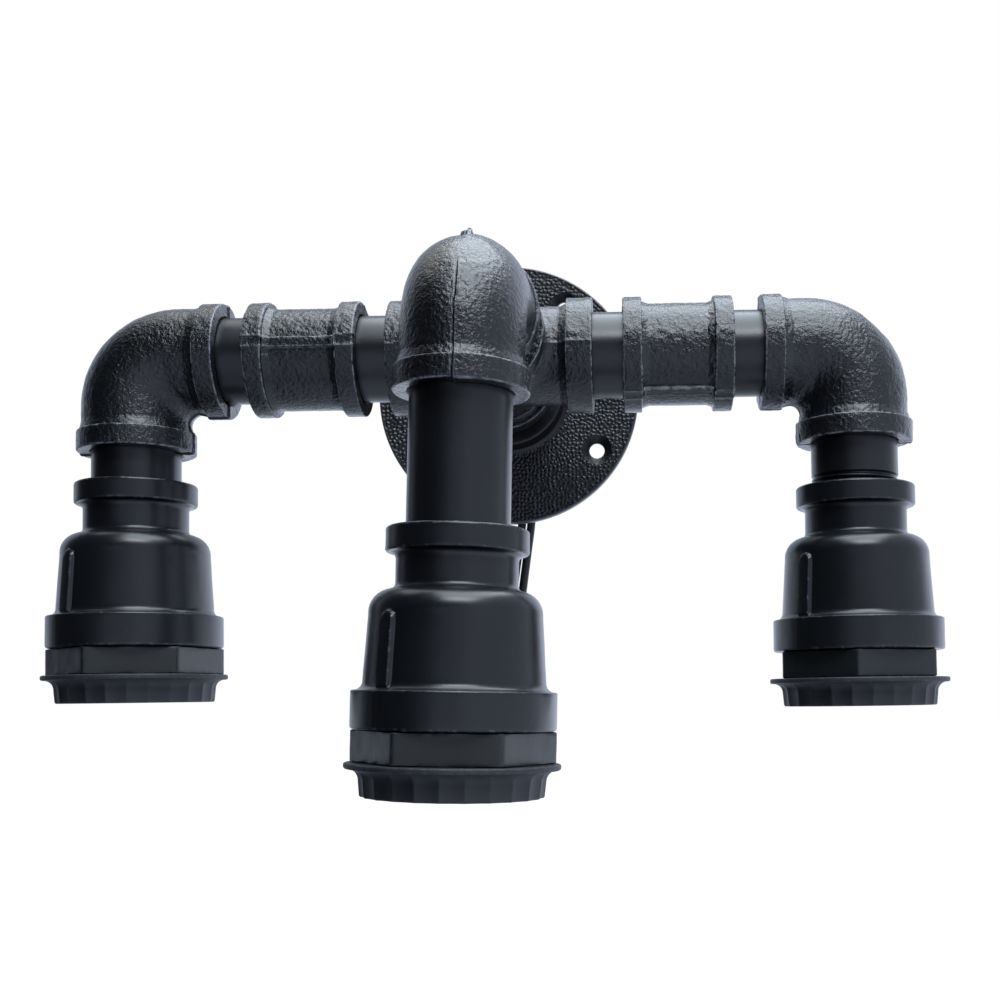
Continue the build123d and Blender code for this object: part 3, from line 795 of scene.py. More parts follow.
def cast_bell(head, rows=256):
    """The revolved wall with ribs: a rounded table across, and a rounded end where each rib starts."""
    ribs, half_width = BELL_RIBS[head.side], BELL_RIB_WIDTH / 2
    angle = around(rows, rib_edges(ribs, half_width / BELL_FOOT_RADIUS))
    radius, depth = spun(bell_outline(), angle)
    wide = (radius > BELL_THREAD_RADIUS + 0.1) & (depth < BELL_HEIGHT - 0.1)
    narrow = (radius > BELL_NECK_RADIUS - 0.01) & (radius <= BELL_THREAD_RADIUS)
    outer = (wide | (narrow & (depth < BELL_SHOULDER_END))) * 1.0
    gap = rib_distance(angle, ribs, BELL_FOOT_RADIUS)
    above_start = np.maximum(BELL_SHOULDER_END - 0.6 + half_width - depth, 0)
    table = ease(half_width + 0.32, half_width - 0.32, np.hypot(gap, above_start))
    on_body = (depth > BELL_NECK_END + 1) * ease(BELL_BAND_TOP - 0.1, BELL_BAND_TOP - 1.6, depth)
    rib = BELL_RIB_HEIGHT * table * on_body * outer
    on_band = (radius > BELL_BAND_RADIUS - 0.5) * (depth > BELL_BAND_TOP)
    hairline = 0.09 * bump_of(gap - 0.7, 0.28) * on_band
    grid = head.turned(radius + rib, angle, depth)
    soft = 0.035 * lumps(grid, 6.0, 2) + 0.015 * lumps(grid, 1.8, 6)
    specks = 0.12 * ease(0.86, 0.97, lumps(grid, 1.5, 11))
    return swollen(grid, outer * (hairline + soft + specks))


for head in heads:
    side, grid = head.side, cast_bell(head)
    add_piece(f"{side}_cast_bell", grid, f"{side}_head", "satin_cast", f"{side}_bell")

# %% [markdown]
# ## Hex bushes
#
# The bush closes the bell's large mouth and carries the lampholder. Its head is a hexagon for a wrench.
# A hexagon follows the largest of six cosines; a high power norm of them instead of the largest one rounds
# the corners a little, as a casting's are.

# %% Hex bush
BUSH_FLATS, BUSH_HEAD = 46.0, 8.4
BUSH_THREAD_RADIUS, BUSH_THREAD = 20.85, 11.5
BUSH_BORE = 19.5
RING_GAP = 0.06
HEX_ANGLES = {"left": 17, "right": 20, "front": 4}


def hexagon(angle, sharpness=70):
    """The distance to the hexagon's edge: half its flats over the power norm of six facing cosines."""
    facing = np.stack([np.maximum(np.cos(angle - k * np.pi / 3), 0) ** sharpness for k in range(6)])
    return BUSH_FLATS / 2 / facing.sum(0) ** (1 / sharpness)


def bush_grid(head, rows=240):
    """A hexagonal head below a round threaded end, with a round bore and a hair's gap above the ring."""
    top, foot = BELL_HEIGHT + 0.15, BELL_HEIGHT + BUSH_HEAD - RING_GAP
    outline = rounded(
        [
            (BUSH_BORE, foot, 0),
            (BUSH_FLATS / 2, foot, 0.35),
            (BUSH_FLATS / 2, top, 0.35),
            (BUSH_THREAD_RADIUS, top, 0),
            (BUSH_THREAD_RADIUS, BELL_HEIGHT - BUSH_THREAD, 0),
            (BUSH_BORE, BELL_HEIGHT - BUSH_THREAD, 0),
            (BUSH_BORE, foot, 0),
        ],
        spacing=0.9,
    )[:-1]
    corners = np.radians(HEX_ANGLES[head.side] + 30 + 60 * np.arange(6))
    angle = around(rows, corners)
    radius, depth = spun(outline, angle)
    hexed = share(BUSH_THREAD_RADIUS, BUSH_FLATS / 2, radius) * (depth >= top - 0.01)
    edge = hexagon(angle - np.radians(HEX_ANGLES[head.side]))
    grid = head.turned(radius + hexed * (edge - BUSH_FLATS / 2), angle, depth)
    on_head = (hexed > 0.9) * (np.abs(depth - (top + foot) / 2) < BUSH_HEAD / 2 - 0.4)
    return swollen(grid, on_head * (0.05 * lumps(grid, 4.0, 12) + 0.02 * lumps(grid, 1.2, 13)))


for head in heads:
    side, grid = head.side, bush_grid(head)
    add_piece(f"{side}_bush", grid, f"{side}_head", "bush_black", f"{side}_hex_bush", sharp_angle=28)

# %% [markdown]
# ## Shade rings
#
# The ring screws up the lampholder to trap a shade. It is moulded, with a thin flange, a hollow flare and
# a wall cut into 24 wide scallops for the fingers. The scallops are a depth taken off the outline: deepest
# in the middle of each and nothing at the soft ridges, and fading out as the flare reaches the flange.

# %% Shade ring
RING_TOP = BELL_HEIGHT + BUSH_HEAD
RING_HEIGHT, RING_FLANGE = 8.6, 1.5
RING_FLANGE_RADIUS, RING_LIP, RING_FLARE = 27.6, 0.8, 2.9
RING_FOOT_RADIUS, RING_BORE = 23.5, 19.38
SCALLOPS, SCALLOP_DEPTH = 24, 0.5


def ring_outline():
    """The wall as (radius, depth), from the bore's top out over the flange, down the flare and back up."""
    flare_top, foot = RING_TOP + RING_FLANGE, RING_TOP + RING_HEIGHT
    flare_foot = flare_top + RING_FLARE
    lip = RING_FLANGE_RADIUS - RING_LIP
    swing = np.linspace(0, np.pi / 2, 14)
    flare = np.stack([lip - RING_FLARE * np.sin(swing), flare_foot - RING_FLARE * np.cos(swing)], axis=1)
    flange = rounded(
        [
            (RING_BORE, RING_TOP, 0),
            (RING_FLANGE_RADIUS, RING_TOP, 0.5),
            (RING_FLANGE_RADIUS, flare_top, 0.55),
            (lip, flare_top, 0),
        ],
        spacing=0.9,
    )
    wall = rounded(
        [
            (lip - RING_FLARE, flare_foot, 0),
            (RING_FOOT_RADIUS, foot, 0.6),
            (RING_BORE + 0.6, foot, 0),
            (RING_BORE, foot - 0.6, 0),
            (RING_BORE, RING_TOP, 0),
        ],
        spacing=0.55,
    )
    return np.concatenate([flange[:-1], flare, wall[1:-1]])


def moulded_ring(head, rows=432):
    """The outline less the scallops: 1 - (2u - 1) ** 2 of their depth, with u running 0 to 1 in each."""
    angle = around(rows)
    radius, depth = spun(ring_outline(), angle)
    along = (angle * SCALLOPS / (2 * np.pi)) % 1
    scallop = 1 - (2 * along - 1) ** 2
    fade = ease(RING_TOP + RING_FLANGE - 0.2, RING_TOP + RING_FLANGE + 1.8, depth)
    outside = (radius > RING_FOOT_RADIUS - 0.9) * (radius < RING_FLANGE_RADIUS - RING_LIP + 0.1)
    radius = radius - SCALLOP_DEPTH * scallop * fade * outside
    return head.turned(radius, angle, depth)


for head in heads:
    side, grid = head.side, moulded_ring(head)
    add_piece(f"{side}_ring_cover", grid, f"{side}_ring", "moulding_black", f"{side}_shade_ring")

# %% [markdown]
# ## Wall plate
#
# The plate is a floor flange: a disc with a threaded boss, four countersunk holes and a pebbled skin like
# hard leather. The pebbles are cells: each point of the disc looks for the two nearest of many scattered
# centres, and where both are equally near lies a groove. The holes go through a grid of any shape, so they
# are cut afterwards with a boolean modifier.

# %% Wall plate
PLATE_RADIUS, PLATE_RIM = 46.0, 4.0
BOSS_HEIGHT, BOSS_RADIUS = 12.0, 19.7
HOLE_CIRCLE, HOLE_RADIUS, COUNTERSINK = 37.0, 2.7, 5.6
HOLE_ANGLES = [-33 + 90 * k for k in range(4)]
PEBBLE, SCATTER_SIDE = 1.4, 128
SCATTER = np.random.default_rng(21).uniform(-0.42, 0.42, (SCATTER_SIDE, SCATTER_SIDE, 2))


def pebbles(x, z):
    """0 in the grooves and 1 on the crowns, from the distances to the two nearest scattered centres."""
    place = np.stack([x, z], axis=-1) / PEBBLE
    cell = np.floor(place).astype(int)
    gaps = []
    for step in itertools.product((-1, 0, 1), repeat=2):
        neighbour = cell + step
        i, j = np.moveaxis(neighbour % SCATTER_SIDE, -1, 0)
        offset = SCATTER[i, j]
        gaps.append(np.linalg.norm(neighbour + 0.5 + offset - place, axis=-1))
    nearest, second = np.sort(np.stack(gaps), axis=0)[:2]
    return ease(-0.1, 0.75, second - nearest)


def plate_outline():
    """The plate's wall as (radius, distance in front of the wall), finest on the face for its pebbles."""
    rim, root = (PLATE_RADIUS - 1.1, PLATE_RIM), (BOSS_RADIUS + 2.2, PLATE_RIM)
    edge = [(PASSAGE_RADIUS, 0, 0), (PLATE_RADIUS, 0, 0.2), (PLATE_RADIUS, PLATE_RIM, 0.9), (*rim, 0)]
    back = rounded(edge, spacing=4.0)
    face = divided(np.array([rim, root]), 0.33)
    boss = rounded(
        [
            (*root, 0),
            (BOSS_RADIUS + 0.3, PLATE_RIM, 1.6),
            (BOSS_RADIUS, BOSS_HEIGHT, 0.8),
            (PIPE_RADIUS + 1.2, BOSS_HEIGHT, 0.3),
            (PIPE_RADIUS + 0.2, BOSS_HEIGHT - 0.9, 0),
            (SOCKET_RADIUS, BOSS_HEIGHT - 0.9, 0),
            (SOCKET_RADIUS, 1.2, 0),
            (PASSAGE_RADIUS, 1.2, 0),
            (PASSAGE_RADIUS, 0, 0),
        ],
        spacing=1.5,
    )
    return np.concatenate([back[:-1], face[:-1], boss[:-1]])


def from_wall(radius, angle, height):
    """Points round the plate's axis at a height in front of the wall; angle 0 is to the right."""
    return np.stack([radius * np.cos(angle), -height, radius * np.sin(angle)], axis=-1)


def pebbled_plate(rows=760):
    """The revolved plate with pebbles raised on its front face and a smooth narrow rim."""
    angle = around(rows)
    radius, height = spun(plate_outline(), angle)
    grid = from_wall(radius, angle, height)
    face = (height > PLATE_RIM - 0.3) * ease(BOSS_RADIUS + 1.4, BOSS_RADIUS + 2.6, radius)
    face = face * ease(PLATE_RADIUS - 0.3, PLATE_RADIUS - 1.3, radius)
    crowns = pebbles(grid[..., 0] + 90, grid[..., 2] + 90)
    relief = face * (0.42 * crowns - 0.42 + 0.03 * lumps(grid, 0.8, 14))
    boss = (height > PLATE_RIM) * (radius > PIPE_RADIUS + 1.3) * (radius < BOSS_RADIUS + 2)
    return swollen(grid, relief + boss * casting_skin(grid, 0.6)), crowns * face


def screw_hole(degrees):
    """A cutter for one hole: a cylinder under a countersink's cone, a little proud of both faces."""
    proud = 1.0
    outline = rounded(
        [
            (0, PLATE_RIM + proud, 0),
            (COUNTERSINK + proud, PLATE_RIM + proud, 0),
            (HOLE_RADIUS, PLATE_RIM - (COUNTERSINK - HOLE_RADIUS), 0),
            (HOLE_RADIUS, -proud, 0),
            (0, -proud, 0),
        ],
        spacing=2.0,
    )
    angle = around(64)
    radius, height = spun(outline, angle)
    middle = from_wall(HOLE_CIRCLE, np.radians(degrees), 0)
    return welded(grid_mesh(f"cutter_{degrees}", middle + from_wall(radius, angle, height), (True, False)))


def drilled(piece, cutters):
    """The piece with each cutter taken out of it for good."""
    for cutter in cutters:
        cut = piece.modifiers.new("drill", "BOOLEAN")
        cut.operation, cut.solver, cut.object = "DIFFERENCE", "EXACT", cutter
    shapes = bpy.context.evaluated_depsgraph_get()
    mesh = bpy.data.meshes.new_from_object(piece.evaluated_get(shapes), depsgraph=shapes)
    piece.modifiers.clear()
    piece.data = mesh
    for cutter in cutters:
        bpy.data.objects.remove(cutter)
    mesh.shade_smooth()
    mesh.set_sharp_from_angle(angle=np.radians(40))
    return piece


grid, crowns = pebbled_plate()
marks = wear_marks(grid)
# The pebble mark also drives the finish's painted highlight on the crowns and painted shade in the grooves.
marks["pebble"] = crowns
plate = grid_mesh("pebbled_plate", grid, marks=marks)
drilled(plate, [screw_hole(degrees) for degrees in HOLE_ANGLES])
settle(plate, "fixture", "plate_black", "wall_plate")
print(len(plate.data.polygons), "faces on the plate")

# %% [markdown]
# ## A thread that runs out
#
# On the right head the drop pipe wasn't screwed in as far as its thread was cut, so two turns still show
# above the bell. A thread is a wave along a helix: the depth of the groove depends on the height, less one
# pitch for each turn about the axis, and it fades out where the cutting die was backed off.

# %% Threaded drop pipe
PIPE_BORE, THREAD_RADIUS, THREAD_BREAK = 10.85, 13.2, 0.8
PIPE_PITCH, THREAD_CUT, THREAD_SHOWN = 1.81, 0.8, 3.6


def threaded_drop(head, rows=144):
    """The pipe between its two hidden ends, with the visible turns of its lower thread."""
    drop = np.linalg.norm(head.centre - head.bell_top) - ELBOW_FACE
    top, foot = -drop - SOCKET_DEPTH + 0.4, SOCKET_DEPTH - 0.4
    end_radius = THREAD_RADIUS - THREAD_BREAK
    upper_end = [(top, PIPE_BORE, 0), (top, end_radius, 0), (top + THREAD_BREAK, THREAD_RADIUS, 0)]
    bare = [(-drop - 0.02, THREAD_RADIUS, 0), (-drop, PIPE_RADIUS, 0), (-THREAD_SHOWN, PIPE_RADIUS, 0)]
    turns = np.array([(-THREAD_SHOWN, PIPE_RADIUS), (-0.02, PIPE_RADIUS)])
    lower_end = [(0, THREAD_RADIUS, 0), (foot - THREAD_BREAK, THREAD_RADIUS, 0), (foot, end_radius, 0)]
    bore = [(foot, PIPE_BORE, 0), (top + 1, PIPE_BORE, 0)]
    outline = np.concatenate(
        [
            rounded(upper_end, 2.0),
            rounded(bare, 2.0)[:-1],
            divided(turns, 0.11),
            rounded(lower_end, 2.0),
            rounded(bore, 3.0),
        ]
    )
    angle = around(rows)
    depth, radius = spun(outline, angle)
    shown = (radius > PIPE_RADIUS - 0.01) * ease(-THREAD_SHOWN, -THREAD_SHOWN + 0.7, depth)
    wave = 0.5 - 0.5 * np.cos(2 * np.pi * depth / PIPE_PITCH - angle)
    return head.turned(radius - THREAD_CUT * wave * shown, angle, depth)


right_head = heads[1]
grid = threaded_drop(right_head)
add_piece("right_threaded_drop", grid, "right_head", "pipe_black", "right_drop_pipe", sharp_angle=50)

# %% [markdown]
# ## Inside the lampholders
#
# From below one looks into the heads. The screw shell is thin brass with the bulb's rolled thread: its
# radius swings in and out as a cosine of the height along a helix. The centre contact is a springy brass
# strip, so it is a flat section carried along a bent line.

# %% Screw shells and centre contacts
SHELL_TOP, SHELL_FOOT = 41.0, 62.2
SHELL_RADIUS, SHELL_THICKNESS = 13.75, 0.35
THREAD_PITCH, THREAD_SWING = 3.63, 0.42
SHELL_WINDOW = 7.0
STRIP_START, STRIP_LENGTH, STRIP_RISE, STRIP_CURL = -5.6, 8.2, 3.4, 0.7
STRIP_HALF_WIDTH, STRIP_HALF_THICKNESS = 2.3, 0.25


def rolled_shell(head, rows=120):
    """A thin cup: the wall's radius is a cosine along a helix, and its floor has a round window."""
    wall_top = SHELL_TOP + 1.2
    depth = np.linspace(wall_top, SHELL_FOOT, 76)
    angle = around(rows)
    swing = THREAD_SWING * ease(wall_top, SHELL_TOP + 3.5, depth)
    swing = swing * ease(SHELL_FOOT, SHELL_FOOT - 1.5, depth)
    middle = SHELL_RADIUS + swing * np.cos(2 * np.pi * depth / THREAD_PITCH - angle)
    outer, inner = middle + SHELL_THICKNESS / 2, middle - SHELL_THICKNESS / 2
    floor = np.linspace(SHELL_WINDOW, SHELL_RADIUS - 0.6, 8)
    floor_above, floor_below = floor + 0 * angle, floor[::-1] - 0.2 + 0 * angle
    radius = np.concatenate([floor_above, outer, inner[:, ::-1], floor_below], axis=1)
    floor_top, floor_foot = np.full(8, SHELL_TOP + 0.2), np.full(8, SHELL_TOP + 0.7)
    depths = np.concatenate([floor_top, depth, depth[::-1], floor_foot])
    return head.turned(radius, angle, depths + 0 * angle)


def capped(tube):
    """A tube's rings with one more at each end, drawn to that ring's middle; welding then closes it."""
    first, last = (ring.mean(1, keepdims=True).repeat(tube.shape[1], 1) for ring in (tube[:1], tube[-1:]))
    return np.concatenate([first, tube, last])


def spring_contact(head):
    """A flat strip whose middle line rises in an S and curls over at its tip, with rounded ends."""
    along = np.linspace(0, 1, 40)
    line = STRIP_START + STRIP_LENGTH * along
    rise = STRIP_RISE * ease(0.3, 0.8, along) - STRIP_CURL * ease(0.82, 1.0, along)
    width = STRIP_HALF_WIDTH * np.sqrt(np.clip(1 - ((along - 0.5) / 0.5) ** 10, 0.02, 1))
    corners = np.array([(-1, -1), (1, -1), (1, 1), (-1, 1)]) * (1, STRIP_HALF_THICKNESS)
    across = width[:, None] * corners[:, 0]
    depth = SHELL_TOP + 0.35 + rise[:, None] + corners[:, 1]
    strip = line[:, None, None] * head.beside + across[..., None] * head.front - depth[..., None] * head.up
    return capped(head.bell_top + strip)


for head in heads:
    side, body = head.side, f"{head.side}_head"
    add_piece(f"{side}_rolled_shell", rolled_shell(head), body, "contact_brass", f"{side}_screw_shell")
    contact = welded(grid_mesh(f"{side}_spring_contact", spring_contact(head), (False, True)))
    settle(contact, body, "contact_brass", f"{side}_centre_contact")

# %% [markdown]
# ## Bare wire ends
#
# Stripped flexible wire is a bundle of copper strands with a slight twist. Six strands wind round a
# straight one, each a thin tube whose centre line turns about the wire's own direction.

# %% Stripped ends
BARE_LENGTH, STRAND_RADIUS, STRAND_CIRCLE, STRAND_TWIST = 6.2, 0.24, 0.46, 0.55


def strands(name, route):
    """Seven tubes past a route's end: one straight, and six that wind round it, each along a helix."""
    end = np.array(route[-1], float)
    way = unit(end - np.array(route[-2], float))
    side = unit(np.cross(way, Y_WAY))
    other = np.cross(way, side)
    along = np.linspace(-1.0, BARE_LENGTH, 24)
    ring = np.linspace(0, 2 * np.pi, 10, endpoint=False)
    section = STRAND_RADIUS * direction(ring, side, other)
    tubes = []
    for k in range(7):
        off = STRAND_CIRCLE * (k < 6)
        round_it = direction(k * np.pi / 3 + along * STRAND_TWIST, side, other)
        line = end + along[:, None] * way + off * round_it
        tubes.append(capped(line[:, None] + section))
    rows, columns = tubes[0].shape[:2]
    faces = [grid_faces(rows, columns, False, True) + k * rows * columns for k in range(7)]
    return welded(new_mesh(name, np.concatenate(tubes).reshape(-1, 3), np.concatenate(faces)), 0.005)


for name, route in TAIL_ROUTES.items():
    bare = strands(name.replace("tail_wire", "bare_end"), route)
    settle(bare, "fixture", "contact_brass")
    tail, exit_point = tails[name], tuple(MM * value for value in route[0])
    settle(tail, "fixture", "lead_sleeve", name)

# %% [markdown]
# ## Writing shader sums as sums
#
# A finish is a graph of nodes, but most of it is arithmetic. The class below wraps one socket, and each
# operator adds the Math node that it stands for, so a roughness can be written as 0.24 + dull * 0.22. Every
# other node comes from one method: its type, its settings and the values or links of its sockets.


# %% Shader helper
class Signal:
    """One output socket in a sum: an operator adds its Math node and gives the node's output."""

    def __init__(self, finish, socket):
        self.finish, self.socket = finish, socket

    def joined(self, operation, first, second):
        return self.finish.node("Math", {"operation": operation}, {0: first, 1: second})

    def __add__(self, other):
        return self.joined("ADD", self, other)

    def __sub__(self, other):
        return self.joined("SUBTRACT", self, other)

    def __rsub__(self, other):
        return self.joined("SUBTRACT", other, self)

    def __mul__(self, other):
        return self.joined("MULTIPLY", self, other)

    __radd__, __rmul__ = __add__, __mul__


class Finish:
    """One material's or world's graph: node() adds its nodes, and principled() closes a material."""

    def __init__(self, name, owners=None):
        self.material = (bpy.data.materials if owners is None else owners).new(name)
        self.material.use_nodes = True
        self.tree = self.material.node_tree
        self.tree.nodes.clear()

    def node(self, kind, settings=None, sockets=None, output=0):
        """Add a node, apply its settings, then give its sockets their values, colours or links."""
        node = self.tree.nodes.new("ShaderNode" + kind)
        for name, value in (settings or {}).items():
            setattr(node, name, value)
        for name, value in (sockets or {}).items():
            if isinstance(value, Signal):
                self.tree.links.new(value.socket, node.inputs[name])
            else:
                node.inputs[name].default_value = (*value, 1) if isinstance(value, tuple) else value
        return Signal(self, node.outputs[output])

    def place(self):
        """The point on the object, in metres."""
        return self.node("TexCoord", output=3)

    def noise(self, size, detail=3.0, roughness=0.55):
        """Noise from 0 to 1 whose features are about this many millimetres across."""
        sockets = {"Scale": 1 / (size * MM), "Detail": detail, "Roughness": roughness}
        return self.node("TexNoise", {}, {"Vector": self.place(), **sockets})

    def mark(self, name):
        """A mark stored on the mesh's points, such as edge or hollow."""
        return self.node("Attribute", {"attribute_name": name}, output=2)

    def ramp(self, value, low, high):
        """A smooth step from 0 at low to 1 at high."""
        sockets = {"Value": value, "From Min": low, "From Max": high}
        return self.node("MapRange", {"clamp": True, "interpolation_type": "SMOOTHSTEP"}, sockets)

    def scuffs(self, size, low, high, roughness=0.7):
        """Ragged patches about this many millimetres across; a higher low and high make them rarer."""
        return self.ramp(self.noise(size, detail=4.0, roughness=roughness), low, high)

    def mix(self, part, first, second):
        """A colour between two others: the first at no part, the second at a whole one."""
        return self.node("Mix", {"data_type": "RGBA"}, {"Factor": part, 6: first, 7: second}, output=2)

    def bump(self, height, depth, strength=0.5, normal=None):
        """A normal tilted by a height, with the depth in millimetres."""
        sockets = {"Height": height, "Distance": depth * MM, "Strength": strength}
        if normal is not None:
            sockets["Normal"] = normal
        return self.node("Bump", {}, sockets)

    def principled(self, **sockets):
        """Close the finish with a Principled shader and return its material."""
        named = {name.replace("_", " ").title(): value for name, value in sockets.items()}
        return self.closed(self.node("BsdfPrincipled", {}, named), "ShaderNodeOutputMaterial")

    def closed(self, shader, kind):
        """Join the last shader to the output and return the material or world."""
        out = self.tree.nodes.new(kind)
        self.tree.links.new(shader.socket, out.inputs["Surface"])
        print(self.material.name, len(self.tree.nodes), "nodes")
        return self.material


finishes = {}

# %% [markdown]
# ## Enamel on castings
#
# The castings are dipped in thick gloss black. It rounds the skin off, so their shine breaks up into an
# orange peel of small bright flecks. Along crisp edges the enamel is thin and scuffed to a paler grey, which
# also paints the highlight that the edges catch. In the creases the colour is darkened as painted shade, and
# the enamel is glossier there. Colour, roughness and bump all follow the same marks.


# %% Gloss enamel
def gloss_enamel():
    """Thick gloss black over an orange peel, paler on edges for wear and a painted highlight, and darkened
    in the creases as painted shade.
    """
    finish = Finish("gloss_enamel")
    peel, grain, broad = finish.noise(1.15), finish.noise(0.45, detail=2.0), finish.noise(14.0, detail=2.0)
    edge, hollow = finish.mark("edge"), finish.mark("hollow")
    # Pale edges: scuffed enamel, and a painted highlight where the edges catch the light.
    edge_wear_and_highlight = edge * finish.scuffs(2.2, 0.38, 0.58)
    base = finish.mix(broad, (0.0026, 0.0031, 0.0040), (0.0046, 0.0054, 0.0068))
    # Painted shade: the colour is darkened in the creases, where the hollow mark is high.
    crease_shade_colour = finish.mix(hollow * 0.7, base, (0.0020, 0.0024, 0.0030))
    colour = finish.mix(edge_wear_and_highlight * 0.8, crease_shade_colour, (0.17, 0.18, 0.20))
    roughness = 0.24 + broad * 0.10 + edge_wear_and_highlight * 0.18 - hollow * 0.05
    normal = finish.bump(grain, 0.06, 0.7, finish.bump(peel, 0.46, 1.0))
    return finish.principled(
        base_color=colour, roughness=roughness, normal=normal, coat_weight=0.15, coat_roughness=0.16
    )


finishes["gloss_cast"] = gloss_enamel()

# %% [markdown]
# ## Satin and dull paints
#
# The bells, pipes and bushes have thinner paint. On the bells it is an even satin with a soft broad
# shine. The pipes' paint is scuffed in a few places. The bushes are duller with a trace of green. All have
# fine dust nibs, and the bells and bushes are paler on their edges, for a little wear and a painted
# highlight.


# %% Satin, pipe and bush paints
def satin_paint():
    finish = Finish("satin_paint")
    cloud, nibs = finish.noise(11.0), finish.noise(0.45, detail=2.0)
    # Paler edges: a little wear and a painted highlight.
    edge_wear_and_highlight = finish.mark("edge") * finish.scuffs(1.6, 0.5, 0.7)
    base = finish.mix(cloud, (0.0034, 0.0040, 0.0054), (0.0052, 0.0062, 0.0080))
    colour = finish.mix(edge_wear_and_highlight * 0.6, base, (0.10, 0.105, 0.115))
    roughness = 0.27 + cloud * 0.07 + edge_wear_and_highlight * 0.12
    return finish.principled(base_color=colour, roughness=roughness, normal=finish.bump(nibs, 0.02))


def pipe_paint():
    finish = Finish("pipe_paint")
    cloud, nibs = finish.noise(9.0), finish.noise(0.4, detail=2.0)
    scuff = finish.scuffs(2.0, 0.68, 0.80)
    base = finish.mix(cloud, (0.0034, 0.0040, 0.0052), (0.0054, 0.0064, 0.0080))
    colour = finish.mix(scuff * 0.25, base, (0.06, 0.065, 0.07))
    roughness = 0.27 + cloud * 0.08 + scuff * 0.15
    return finish.principled(base_color=colour, roughness=roughness, normal=finish.bump(nibs, 0.025))


def bush_paint():
    finish = Finish("bush_paint")
    cloud, grain = finish.noise(7.0), finish.noise(0.5)
    # Paler edges: a little wear and a painted highlight.
    edge_wear_and_highlight = finish.mark("edge") * finish.scuffs(1.3, 0.48, 0.68)
    base = finish.mix(cloud, (0.0065, 0.0080, 0.0082), (0.0115, 0.0138, 0.0136))
    colour = finish.mix(edge_wear_and_highlight * 0.5, base, (0.09, 0.095, 0.095))
    roughness = 0.36 + cloud * 0.08
    return finish.principled(base_color=colour, roughness=roughness, normal=finish.bump(grain, 0.025, 0.6))


finishes |= {"satin_cast": satin_paint(), "pipe_black": pipe_paint(), "bush_black": bush_paint()}

# %% [markdown]
# ## Moulded rings and the pebbled plate
#
# The shade ring is dull thermoset with a faint flow mottle. The plate's colour is paler on its crowns as a
# painted highlight and darker in its grooves as painted shade, its roughness follows the same pebble mark,
# and it is paler towards the rim.


# %% Moulding and pebbled paint
def moulding():
    finish = Finish("dull_moulding")
    flow, grain = finish.noise(8.0, detail=2.0), finish.noise(0.3)
    # Paler edges: a little wear and a painted highlight.
    edge_wear_and_highlight = finish.mark("edge") * finish.scuffs(1.5, 0.45, 0.65, roughness=0.55)
    base = finish.mix(flow, (0.0120, 0.0135, 0.0165), (0.0165, 0.0182, 0.0215))
    colour = finish.mix(edge_wear_and_highlight * 0.35, base, (0.07, 0.073, 0.078))
    roughness = 0.56 + flow * 0.08
    return finish.principled(base_color=colour, roughness=roughness, normal=finish.bump(grain, 0.02))


def pebble_paint():
    finish = Finish("pebble_paint")
    crown, edge = finish.mark("pebble"), finish.mark("edge")
    cloud, grain = finish.noise(10.0), finish.noise(0.35, detail=2.0)
    from_middle = finish.node("VectorMath", {"operation": "LENGTH"}, {0: finish.place()}, output=1)
    rim = finish.ramp(from_middle, (PLATE_RADIUS - 0.8) * MM, (PLATE_RADIUS - 0.1) * MM)
    # Painted highlight and shade: paler on the crowns, darker in the grooves.
    base = finish.mix(crown, (0.0025, 0.0028, 0.0034), (0.0090, 0.0098, 0.0115))
    colour = finish.mix(rim * 0.7, base, (0.06, 0.063, 0.067))
    roughness = 0.36 - crown * 0.08 + cloud * 0.08 + edge * 0.05
    return finish.principled(base_color=colour, roughness=roughness, normal=finish.bump(grain, 0.03, 0.6))


finishes |= {"moulding_black": moulding(), "plate_black": pebble_paint()}

# %% [markdown]
# ## Brass, and the plain finishes inside
#
# Brass is a metal: its colour goes into the reflection, with some brown tarnish in cloudy patches. The
# pieces that hardly show are simpler: one slow noise moves their colour and their roughness together. The
# ones that aren't metal have a fine grain too, given as its noise's size and detail and its bump's depth
# and strength.

# %% Brass, copper, steel, porcelain, sleeve and nylon
def brass():
    finish = Finish("pressed_brass")
    dull, grain = finish.scuffs(5.0, 0.42, 0.70, roughness=0.65), finish.noise(0.3, detail=2.0)
    colour = finish.mix(dull, (0.70, 0.47, 0.18), (0.38, 0.24, 0.10))
    roughness, normal = 0.24 + dull * 0.22, finish.bump(grain, 0.01)
    return finish.principled(base_color=colour, metallic=1.0, roughness=roughness, normal=normal)


def cloudy(name, size, dark, pale, roughness, **sockets):
    """A finish whose slow noise moves its colour between two and its roughness by (least, spread)."""
    finish = Finish(name)
    cloud = finish.noise(size)
    least, spread = roughness
    if "grain" in sockets:
        fine_size, detail, depth, strength = sockets.pop("grain")
        sockets["normal"] = finish.bump(finish.noise(fine_size, detail), depth, strength)
    colour = finish.mix(cloud, dark, pale)
    return finish.principled(base_color=colour, roughness=least + cloud * spread, **sockets)


def copper():
    dull, bright = (0.50, 0.22, 0.12), (0.80, 0.38, 0.22)
    return cloudy("bare_copper", 1.5, bright, dull, (0.25, 0.2), metallic=1.0)


def plated_steel():
    dark, pale = (0.52, 0.53, 0.55), (0.66, 0.66, 0.66)
    return cloudy("plated_steel", 2.0, dark, pale, (0.28, 0.2), metallic=1.0)


def porcelain():
    dark, pale = (0.72, 0.70, 0.64), (0.82, 0.80, 0.75)
    return cloudy("porcelain", 6.0, dark, pale, (0.45, 0.15), grain=(0.5, 3.0, 0.02, 0.5))


def wire_sleeve():
    dark, pale = (0.010, 0.010, 0.011), (0.020, 0.020, 0.022)
    return cloudy("wire_sleeve", 4.0, dark, pale, (0.42, 0.12), grain=(0.5, 3.0, 0.02, 0.5))


